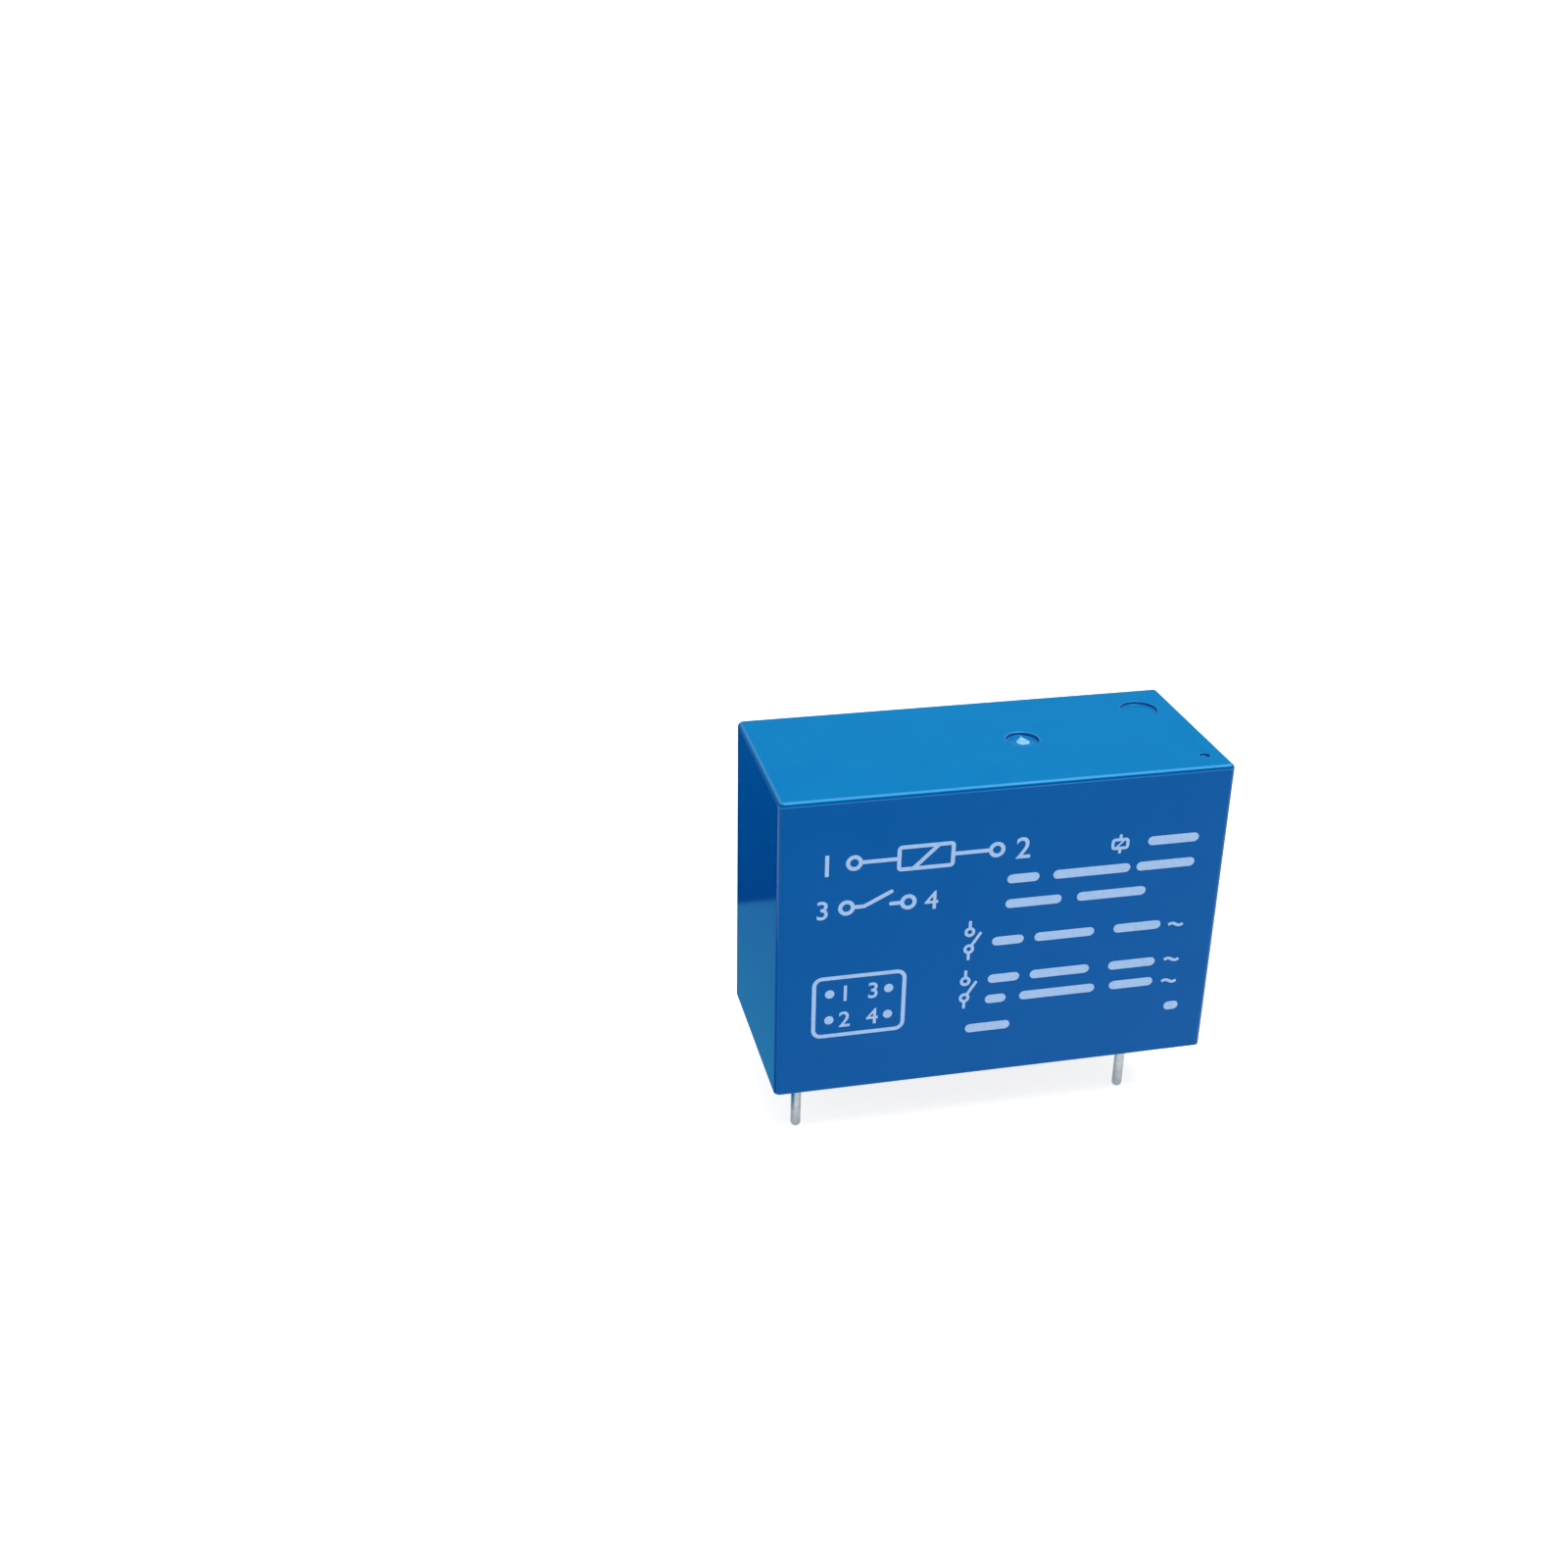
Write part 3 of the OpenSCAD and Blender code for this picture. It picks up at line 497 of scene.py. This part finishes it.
def close_to_point(bm, loop, point):
    """Triangles from a loop to a new point."""
    peak = bm.verts.new(point)
    for i, vert in enumerate(loop):
        bm.faces.new((vert, loop[(i + 1) % len(loop)], peak))


def fill_grid(bm, grid):
    """Quads between the rows of a grid of vertices."""
    for row, after in zip(grid, grid[1:]):
        for i in range(len(row) - 1):
            bm.faces.new((row[i], row[i + 1], after[i + 1], after[i]))


def rim_of(grid):
    """Outer vertices of a grid of rows, in order."""
    return grid[0] + [row[-1] for row in grid[1:]] + grid[-1][-2::-1] + [row[0] for row in grid[-2:0:-1]]


def rounded_loop(half_x, half_y, radius, z, per_corner=8):
    """Points of a rectangle with round corners, counter-clockwise."""
    points = []
    for corner in range(4):
        sign_x = 1 if corner in (0, 3) else -1
        sign_y = 1 if corner in (0, 1) else -1
        for step in range(per_corner + 1):
            angle = TAU * (corner / 4 + step / per_corner / 4)
            points.append(Vector((sign_x * (half_x - radius) + radius * math.cos(angle),
                                  sign_y * (half_y - radius) + radius * math.sin(angle), z)))
    return points


def circle_loop(x, y, radius, z, count=48):
    """Points of a level circle, counter-clockwise."""
    return [Vector((x + radius * math.cos(TAU * i / count), y + radius * math.sin(TAU * i / count), z))
            for i in range(count)]


def arc_steps(count):
    """Angles from 0 to a right angle."""
    return [math.pi / 2 * i / count for i in range(count + 1)]


def loop_edges(bm, loop):
    """Edges of a closed loop, made where they are missing."""
    edges = []
    for i, vert in enumerate(loop):
        after = loop[(i + 1) % len(loop)]
        edges.append(bm.edges.get((vert, after)) or bm.edges.new((vert, after)))
    return edges


# Stage


def add_camera():
    """Camera at the photograph's viewing point."""
    data = bpy.data.cameras.new("camera")
    data.lens = CAMERA["lens"]
    data.sensor_width = CAMERA["sensor"]
    data.clip_start = CAMERA["clip_start"]
    camera = bpy.data.objects.new("camera", data)
    forward = Vector(CAMERA["forward"]).normalized()
    right = Vector(CAMERA["right"]).normalized()
    up = right.cross(forward)
    turn = Matrix((right, up, -forward)).transposed().to_4x4()
    camera.matrix_world = Matrix.Translation(Vector(CAMERA["eye"]) * MM) @ turn
    scene.collection.objects.link(camera)
    scene.camera = camera


def add_sun(name, towards, strength, angle_deg, colour):
    """Soft light from far away, so that the floor is lit evenly."""
    data = bpy.data.lights.new(name, "SUN")
    data.energy = strength
    data.angle = math.radians(angle_deg)
    data.color = colour
    sun = bpy.data.objects.new(name, data)
    sun.rotation_mode = "QUATERNION"
    sun.rotation_quaternion = Vector(towards).to_track_quat("Z", "Y")
    scene.collection.objects.link(sun)


def add_world():
    """Even pale surroundings, which gloss sees dimmer and bluer."""
    world = bpy.data.worlds.new("studio")
    world.use_nodes = True
    tree = world.node_tree
    rays = tree.nodes.new("ShaderNodeLightPath")
    tone = tree.nodes.new("ShaderNodeMix")
    tone.data_type = "RGBA"
    tone.inputs["A"].default_value = (*WORLD_TONE, 1)
    tone.inputs["B"].default_value = (*WORLD_GLOSS_TONE, 1)
    tree.links.new(rays.outputs["Is Glossy Ray"], tone.inputs["Factor"])
    tree.links.new(tone.outputs["Result"], tree.nodes["Background"].inputs["Color"])
    scene.world = world


def add_floor():
    """Wide pale floor under the pin tips."""
    bm = bmesh.new()
    bmesh.ops.create_circle(bm, cap_ends=True, radius=FLOOR["r"], segments=FLOOR["sides"])
    floor = make_object("studio_floor", bm, floor_material())
    floor.location.z = floor_z * MM


def add_card():
    """Glowing dark card behind the coil end, standing on a glowing teal sheet: only the gloss of that end
    shows them, as a painted reflection.
    """
    bm = bmesh.new()
    profile = ((CARD["front"], 0.0), (CARD["back"], 0.0), (CARD["back"], CARD["height"]))
    fill_grid(bm, [[bm.verts.new((x, y, z)) for y, z in profile] for x in (CARD["left"], CARD["right"])])
    card = make_object("glossy_reflection_card", bm, card_material())
    card.location.z = (floor_z + CARD["lift"]) * MM
    card.visible_camera = False
    card.visible_diffuse = False
    card.visible_shadow = False


# Cover


def recess(bm, place):
    """Round recess in the top with a rounded rim; returns the loops of its rim and of its floor."""
    r, rim_r, floor_r = place["r"], place["rim_r"], place["floor_r"]
    profile = [(r + rim_r * (1 - math.sin(a)), -rim_r * (1 - math.cos(a)))
               for a in arc_steps(RECESS_RIM_STEPS)]
    profile += [(r - floor_r * (1 - math.cos(a)), -place["depth"] + floor_r * (1 - math.sin(a)))
                for a in arc_steps(RECESS_FLOOR_STEPS)]
    loops = [ring(bm, circle_loop(place["x"], place["y"], radius, cover_high.z + z))
             for radius, z in profile]
    bridge_all(bm, loops)
    return loops[0], loops[-1]


def gate_foot(bm, floor_loop):
    """Moulded foot of the broken-off gate, rising out of the recess; its top stays under the torn tip."""
    profile = [(NUB["foot_r"] + out, rise) for out, rise in NUB["fillet"]]
    profile.append((NUB["tip_r"], NUB["step"]))
    floor = cover_high.z - GATE["depth"]
    loops = [ring(bm, circle_loop(GATE["x"], GATE["y"], radius, floor + rise)) for radius, rise in profile]
    bridge_all(bm, [floor_loop, *loops])
    bm.faces.new(loops[-1])


def scar_ring(bm, share, low, high):
    """One loop of the torn tip at a share of its height: straight in front, and ragged above its foot."""
    x = GATE["x"] + SCAR["peak_x"] * share
    y = GATE["y"] + SCAR["y"] + SCAR["rise_y"] * share
    radius = SCAR["r"] * (1 - share) ** SCAR["taper"]
    grain = SCAR["grain"]
    points = circle_loop(x, y, radius, low + (high - low) * share, SCAR["sides"])
    for p in points:
        ragged = noise.noise(Vector((p.x * grain, p.y * grain, share * SCAR["grain_up"])))
        p.y = max(p.y, GATE["y"] + SCAR["front"])
        if share > 0:
            p.z = min(p.z + SCAR["ragged"] * ragged, high)
    return ring(bm, points)


def build_gate_scar():
    """Torn tip of the broken-off gate, rising to a peak behind."""
    bm = bmesh.new()
    low = cover_high.z - GATE["depth"] + NUB["step"] - SCAR["sunk"]
    high = cover_high.z - SCAR["below_top"]
    rings = [scar_ring(bm, step / SCAR["levels"], low, high) for step in range(SCAR["levels"])]
    bridge_all(bm, rings)
    peak = (GATE["x"] + SCAR["peak_x"], GATE["y"] + SCAR["y"] + SCAR["rise_y"], high)
    close_to_point(bm, rings[-1], peak)
    bm.faces.new(rings[0])
    # The tip's material paints a glint on it.
    sharpen(add_piece("gate_scar", bm, "cover_plastic", GATE_GLINT), "scar")


def cover_loops():
    """Loops of the shell, from the ceiling inside down, round the rim and up the outside to the top."""
    half_x, half_y, top = cover_high.x, cover_high.y - INK_T, cover_high.z
    wall_x, wall_y = cover_high.x - resin_high.x, cover_high.y - resin_high.y
    loops = [rounded_loop(half_x - wall_x, half_y - wall_y, INNER_CORNER_R, z)
             for z in (top - ROOF_T, RIM_EDGE_R)]
    steps = []
    for a in arc_steps(RIM_STEPS)[1:]:
        out = RIM_EDGE_R * (1 - math.cos(a))
        steps.append((wall_x - out, INNER_CORNER_R + out, RIM_EDGE_R * (1 - math.sin(a))))
    for a in arc_steps(RIM_STEPS):
        inset = RIM_EDGE_R * (1 - math.sin(a))
        steps.append((inset, CORNER_R - inset, RIM_EDGE_R * (1 - math.cos(a))))
    for a in arc_steps(TOP_STEPS):
        inset = TOP_EDGE_R * (1 - math.cos(a))
        steps.append((inset, max(CORNER_R - inset, TOP_CORNER_R), top - TOP_EDGE_R * (1 - math.sin(a))))
    return loops + [rounded_loop(half_x - inset, half_y - inset, radius, z) for inset, radius, z in steps]


def build_cover():
    """One moulded shell: outside with round edges, marks on its top, rim below and the cavity inside."""
    bm = bmesh.new()
    rings = [ring(bm, points) for points in cover_loops()]
    bridge_all(bm, rings)
    bm.faces.new(rings[0])
    rims = [rings[-1]]
    for place in (GATE, MARK, VENT):
        rim, floor = recess(bm, place)
        rims.append(rim)
        if place is GATE:
            gate_foot(bm, floor)
        else:
            bm.faces.new(floor)
    edges = [edge for rim in rims for edge in loop_edges(bm, rim)]
    bmesh.ops.triangle_fill(bm, use_beauty=True, edges=edges, normal=(0, 0, 1))
    cover = add_piece("cover_shell", bm, "cover_plastic")
    sharpen(cover, "cover")
    weigh_normals(cover)
    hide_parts("cover")


# Print


class Print:
    """Flat ink shapes on the front face."""

    def __init__(self):
        self.bm = bmesh.new()
        self.layer = 0

    def next_layer(self):
        """Each shape lies a hair deeper than the one before, so that no two meet in one plane."""
        self.layer = (self.layer + 1) % INK_LAYERS

    def vertex(self, u, v):
        """Vertex on the face, at the present layer's depth."""
        depth = self.layer * INK_STEP
        return self.bm.verts.new((cover_low.x + u, cover_low.y + depth, v))

    def fill(self, outline):
        """Face inside an outline."""
        self.bm.faces.new([self.vertex(u, v) for u, v in outline])

    def stroke(self, points, width, caps=6):
        """Straight strokes with round ends."""
        for (u0, v0), (u1, v1) in zip(points, points[1:]):
            self.next_layer()
            along = math.atan2(v1 - v0, u1 - u0)
            outline = []
            for (u, v), start in (((u0, v0), along + math.pi / 2), ((u1, v1), along - math.pi / 2)):
                for i in range(caps + 1):
                    a = start + math.pi * i / caps
                    outline.append((u + width / 2 * math.cos(a), v + width / 2 * math.sin(a)))
            self.fill(outline)

    def bar(self, u0, u1, v, height=BAR_H):
        """Bar with round ends along a line."""
        self.stroke([(u0 + height / 2, v), (u1 - height / 2, v)], height)

    def dot(self, u, v, radius, count=28):
        """Full round dot."""
        self.next_layer()
        self.fill([(u + radius * math.cos(TAU * i / count), v + radius * math.sin(TAU * i / count))
                   for i in range(count)])

    def band(self, outer, inner, closed=True):
        """Band between two outlines of as many points."""
        self.next_layer()
        rows = [[self.vertex(u, v) for u, v in line] for line in (outer, inner)]
        for i in range(len(outer) - (0 if closed else 1)):
            j = (i + 1) % len(outer)
            self.bm.faces.new((rows[0][i], rows[0][j], rows[1][j], rows[1][i]))

    def circle(self, u, v, radius, width, count=32):
        """Circle drawn with a line."""
        angles = [TAU * i / count for i in range(count)]
        self.band(*[[(u + r * math.cos(a), v + r * math.sin(a)) for a in angles]
                    for r in (radius + width / 2, radius - width / 2)])

    def frame(self, u0, v0, u1, v1, radius, width):
        """Rectangle outline with round corners."""
        middle = Vector(((u0 + u1) / 2, (v0 + v1) / 2))
        half = Vector(((u1 - u0) / 2, (v1 - v0) / 2))
        lines = []
        for grow in (width / 2, -width / 2):
            loop = rounded_loop(half.x + grow, half.y + grow, radius + grow, 0, per_corner=6)
            lines.append([(middle.x + p.x, middle.y + p.y) for p in loop])
        self.band(*lines)

    def wave(self, u, v, length, height, width, count=24):
        """One period of a wave, the sign of alternating current."""
        outer, inner = [], []
        for i in range(count + 1):
            share = i / count
            centre = (u - length / 2 + length * share, v + height / 2 * math.sin(TAU * share))
            slope = math.atan2(math.pi * height * math.cos(TAU * share), length)
            across = (-math.sin(slope) * width / 2, math.cos(slope) * width / 2)
            outer.append((centre[0] + across[0], centre[1] + across[1]))
            inner.append((centre[0] - across[0], centre[1] - across[1]))
        self.band(outer, inner, closed=False)

    def numeral(self, digit, u, v, height):
        """Plain numeral, centred on a point."""
        self.next_layer()
        curve = bpy.data.curves.new("numeral", "FONT")
        curve.body = str(digit)
        curve.size = height / NUMERAL["share_of_size"]
        curve.align_x = "CENTER"
        curve.resolution_u = NUMERAL["resolution"]
        curve.offset = NUMERAL["bold"]
        holder = bpy.data.objects.new("numeral", curve)
        mesh = holder.to_mesh()
        verts = [self.vertex(u + p.co.x, v - height / 2 + p.co.y) for p in mesh.vertices]
        for face in mesh.polygons:
            self.bm.faces.new([verts[i] for i in face.vertices])
        holder.to_mesh_clear()
        bpy.data.objects.remove(holder)
        bpy.data.curves.remove(curve)

    def finish(self, name):
        """Gives the ink its thickness and lays it on the cover."""
        bmesh.ops.recalc_face_normals(self.bm, faces=self.bm.faces)
        made = bmesh.ops.extrude_face_region(self.bm, geom=list(self.bm.faces))
        moved = [g for g in made["geom"] if isinstance(g, bmesh.types.BMVert)]
        bmesh.ops.translate(self.bm, verts=moved, vec=(0, 2 * INK_T, 0))
        sharpen(add_piece(name, self.bm, "cover_plastic", INK), "ink")


def print_coil_line():
    """Coil between its two terminals, as a wiring sign."""
    ink = Print()
    v, height = COIL_LINE["v"], COIL_LINE["height"]
    low, high = v - height / 2, v + height / 2
    for digit, u in zip((1, 2), COIL_LINE["numerals"]):
        ink.numeral(digit, u, v, height)
    for u, end in zip(COIL_LINE["terminals"], COIL_LINE["coil"]):
        side = math.copysign(TERMINAL_R, end - u)
        ink.circle(u, v, TERMINAL_R, LINE)
        ink.stroke([(u + side, v), (end, v)], LINE)
    left, right = COIL_LINE["coil"]
    ink.frame(left, low, right, high, COIL_LINE["corner_r"], LINE)
    ink.stroke(list(zip(COIL_LINE["slash"], (low, high))), LINE)
    ink.finish("print_coil_line")


def print_contact_line():
    """Open contact between its two terminals, as a wiring sign."""
    ink = Print()
    v, height = CONTACT_LINE["v"], CONTACT_LINE["height"]
    left, right = CONTACT_LINE["terminals"]
    foot, tip = CONTACT_LINE["blade"]
    ink.numeral(3, CONTACT_LINE["numerals"][0], v, height)
    ink.circle(left, v, TERMINAL_R, LINE)
    ink.stroke([(left + TERMINAL_R, v), (foot, v), (tip, v + CONTACT_LINE["rise"])], LINE)
    ink.stroke([(tip, v), (right - TERMINAL_R, v)], LINE)
    ink.circle(right, v, TERMINAL_R, LINE)
    ink.numeral(4, CONTACT_LINE["numerals"][1], v, height)
    ink.finish("print_contact_line")


def print_pin_plan():
    """Pins seen from below, with their numbers."""
    ink = Print()
    (left, right), (low, high) = PIN_PLAN["u"], PIN_PLAN["v"]
    inset_u, inset_v = PIN_PLAN["inset_u"], PIN_PLAN["inset_v"]
    ink.frame(left, low, right, high, PIN_PLAN["corner_r"], LINE)
    pins = [(u, v, side) for u, side in ((left + inset_u, 1), (right - inset_u, -1))
            for v in (high - inset_v, low + inset_v)]
    for digit, (u, v, side) in enumerate(pins, 1):
        ink.dot(u, v, PIN_PLAN["dot_r"])
        ink.numeral(digit, u + side * PIN_PLAN["to_numeral"], v, PIN_PLAN["height"])
    ink.finish("print_pin_plan")


def contact_sign(ink, u, v):
    """Small upright sign of an open contact."""
    reach = CONTACT_SIGN["gap"] / 2
    for side in (-1, 1):
        ink.circle(u, v + side * reach, CONTACT_SIGN["r"], FINE_LINE)
        start = reach + CONTACT_SIGN["r"]
        ink.stroke([(u, v + side * start), (u, v + side * (start + CONTACT_SIGN["lead"]))], FINE_LINE)
    ink.stroke([(u + du, v - reach + dv) for du, dv in CONTACT_SIGN["blade"]], FINE_LINE)


def coil_sign(ink, u, v):
    """Small upright sign of a coil."""
    half_u, half_v = COIL_SIGN["half_u"], COIL_SIGN["half_v"]
    slash_u = COIL_SIGN["slash_u"]
    ink.frame(u - half_u, v - half_v, u + half_u, v + half_v, COIL_SIGN["corner_r"], FINE_LINE)
    ink.stroke([(u - slash_u, v - half_v), (u + slash_u, v + half_v)], COIL_SIGN["slash_line"])
    for side in (-1, 1):
        ink.stroke([(u, v + side * half_v), (u, v + side * (half_v + COIL_SIGN["lead"]))], FINE_LINE)


def print_lines():
    """Plain bars where such a relay carries its lines of print, with the signs beside them."""
    ink = Print()
    coil_sign(ink, COIL_SIGN["u"], COIL_SIGN["v"])
    for v, spans in BARS:
        for start, end in spans:
            ink.bar(start, end, v)
    for v in WAVE["levels"]:
        ink.wave(WAVE["u"], v, WAVE["length"], WAVE["height"], FINE_LINE)
    for u, v in CONTACT_SIGN["places"]:
        contact_sign(ink, u, v)
    ink.finish("print_lines")


# Underside


def resin_level(x, y, pins):
    """Level of the poured face: it climbs the walls and pins and dips a little between them."""
    mound_h = RESIN_RECESS - resin_low.z
    to_wall = min(resin_high.x - abs(x), resin_high.y - abs(y))
    level = RESIN_RECESS - RESIN["wall_climb"] * math.exp(-max(to_wall, 0) / RESIN["wall_reach"])
    for px, py in pins:
        to_shank = max(math.hypot(x - px, y - py) - SHANK_R, 0)
        level -= mound_h * math.exp(-(to_shank / RESIN["mound_reach"]) ** RESIN["mound_power"])
    for wave in RESIN_WAVES:
        grain_x, grain_y = wave["grain"]
        level += wave["depth"] * noise.noise(Vector((x * grain_x, y * grain_y, wave["shift"])))
    return max(level, resin_low.z)


def build_resin(pins):
    """Poured seal: an uneven lower face in a closed block."""
    bm = bmesh.new()
    columns, rows = RESIN["columns"], RESIN["rows"]
    xs = [resin_high.x * (2 * i / columns - 1) for i in range(columns + 1)]
    ys = [resin_high.y * (2 * j / rows - 1) for j in range(rows + 1)]
    grid = [[bm.verts.new((x, y, resin_level(x, y, pins))) for x in xs] for y in ys]
    fill_grid(bm, grid)
    border = rim_of(grid)
    upper = [bm.verts.new((v.co.x, v.co.y, resin_high.z)) for v in border]
    bridge(bm, border, upper)
    bm.faces.new(upper)
    piece = add_piece("resin_pour", bm, "sealing_resin")
    sharpen(piece, "resin")
    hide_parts("sealing_resin")


def pin_radius(z):
    """Radius of a pin at a level: a round tip, a straight length and the shoulder below its shank."""
    above_tip = z - floor_z
    if above_tip < PIN_R:
        return math.sqrt(max(PIN_R ** 2 - (PIN_R - above_tip) ** 2, 0))
    if z < -SHOULDER_DROP:
        return PIN_R
    return PIN_R + (SHANK_R - PIN_R) * (z + SHOULDER_DROP) / (RESIN_RECESS + SHOULDER_DROP)


def tin_ring(bm, index, x, y, z):
    """One loop of the tin round a pin, uneven in thickness."""
    points = []
    for out in circle_loop(0, 0, 1, 0, TIN["sides"]):
        uneven = noise.noise(Vector((out.x * TIN["grain"] + TIN["grain_shift"] * index,
                                     out.y * TIN["grain"], z * TIN["grain_up"])))
        points.append(Vector((x, y, z)) + out * (pin_radius(z) + TIN["coat"] + TIN["uneven"] * uneven))
    return ring(bm, points)


def build_pin_tin(index, x, y):
    """Hot-dipped tin on one pin: a thin, uneven coat with a round tip."""
    bm = bmesh.new()
    start, steps = floor_z + PIN_R, TIN["steps"]
    levels = [floor_z + PIN_R * (1 - math.cos(a)) for a in arc_steps(TIN["tip_steps"])[1:]]
    levels += [start + (RESIN_RECESS - start) * i / steps for i in range(1, steps + 1)]
    rings = [tin_ring(bm, index, x, y, z) for z in levels]
    bridge_all(bm, rings)
    close_to_point(bm, rings[0], (x, y, floor_z))
    bm.faces.new(rings[-1])
    sharpen(add_piece(f"pin_tin_{index}", bm, "tinned_copper"), "tin")


# Springs


def leaf_half(z, flex_z, contact_z, foot_half, tip_half):
    """Half the leaf's width at a level: straight at its foot, then tapering to a round tip."""
    if z < flex_z:
        return foot_half
    if z < contact_z:
        return foot_half + (tip_half - foot_half) * (z - flex_z) / (contact_z - flex_z)
    return math.sqrt(max(tip_half ** 2 - (z - contact_z) ** 2, LEAF["tip_half"] ** 2))


def build_contact_leaf():
    """Bronze leaf spring: held at its foot, straight to where it leaves the rivets, then tapering to a
    round tip.
    """
    low, high = node_box("contact_spring")
    hinge = next(j for j in frame["record"]["behaviour"]["joints"] if j["name"] == "contact_flex")
    flex_z = hinge["pos_m"][2] / MM
    contact = node_box("moving_contact")
    contact_z = (contact[0].z + contact[1].z) / 2
    rows, across = LEAF["rows"], LEAF["across"]
    levels = [low.z + (high.z - low.z) * j / rows for j in range(rows + 1)]
    halves = [leaf_half(z, flex_z, contact_z, high.y, high.z - contact_z) for z in levels]
    bm = bmesh.new()
    layers = []
    for x in (low.x, high.x):
        layers.append([[bm.verts.new((x, half * (2 * i / across - 1), z)) for i in range(across + 1)]
                       for z, half in zip(levels, halves)])
        fill_grid(bm, layers[-1])
    bridge(bm, *[rim_of(layer) for layer in layers])
    leaf = add_piece("contact_leaf", bm, "spring_bronze", body=None)
    sharpen(leaf, "leaf")
    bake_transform(leaf)
    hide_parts("contact_spring")


def helix(x, y, r, low, high):
    """Points of the return spring's turns, from below upwards."""
    steps = COIL["steps"]
    count = COIL["turns"] * steps
    return [(x + r * math.cos(TAU * i / steps), y + r * math.sin(TAU * i / steps),
             low + (high - low) * i / count) for i in range(count + 1)]


def wire_mesh(name, path, wire):
    """Mesh of a round wire along a path."""
    curve = bpy.data.curves.new(name, "CURVE")
    curve.dimensions = "3D"
    curve.bevel_depth = wire / 2 * MM
    curve.bevel_resolution = COIL["wire_steps"]
    curve.use_fill_caps = True
    spline = curve.splines.new("POLY")
    spline.points.add(len(path) - 1)
    for point, place in zip(spline.points, path):
        point.co = (*(Vector(place) * MM), 1)
    holder = bpy.data.objects.new(f"{name}_path", curve)
    mesh = bpy.data.meshes.new_from_object(holder)
    bpy.data.objects.remove(holder)
    bpy.data.curves.remove(curve)
    mesh.name = name
    mesh.materials.clear()
    mesh.shade_smooth()
    return mesh


def build_return_coil():
    """Return spring: close-wound wire with a hook at each end, stretched between yoke and armature."""
    low, high = node_box("return_spring")
    yoke, armature = node_box("yoke")[1], node_box("armature")[1]
    wire = COIL["wire"]
    x, y = yoke.x - COIL["from_yoke"], (low.y + high.y) / 2
    r = (high.y - low.y) / 2 - wire / 2
    tab_low = low.z + wire / 2 + wire
    tab_high = tab_low + COIL["tab_h"]
    ear_z = high.z - wire / 2
    coil_low, coil_high = tab_high + 3 * wire, ear_z - COIL["neck"] - 2 * wire
    hook_x = armature.x + 1.5 * wire
    path = [(x - r, y, tab_low - wire), (x - r / 2, y, tab_low - wire), (x, y, tab_low),
            (x, y, tab_high + wire)]
    path += helix(x, y, r, coil_low, coil_high)
    path += [(hook_x + r / 2, y + r / 3, coil_high + wire), (hook_x, y, ear_z - wire),
             (hook_x - wire, y, ear_z), (armature.x - COIL["hook"] - wire, y, ear_z)]
    mesh = wire_mesh("return_coil", path, wire)
    mesh.materials.append(MATERIALS["spring_steel"])
    coil = bpy.data.objects.new("return_coil", mesh)
    scene.collection.objects.link(coil)
    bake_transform(coil)
    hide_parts("return_spring")


# Nodes that stay as they are


def dress_nodes():
    """Gives every node of the frame the material of its slot."""
    for part in frame["record"]["subparts"]:
        mesh = frame["nodes"][part["node"]].data
        mesh.materials.clear()
        mesh.materials.append(MATERIALS[part["material_slot"]])


scene.view_settings.view_transform = "Standard"
add_camera()
add_world()
add_sun("key_light", **KEY_LIGHT)
add_floor()
add_card()
dress_nodes()
build_cover()
build_gate_scar()
print_coil_line()
print_contact_line()
print_pin_plan()
print_lines()
pin_places = find_pins()
build_resin(pin_places)
for number, (pin_x, pin_y) in enumerate(pin_places, 1):
    build_pin_tin(number, pin_x, pin_y)
build_contact_leaf()
build_return_coil()
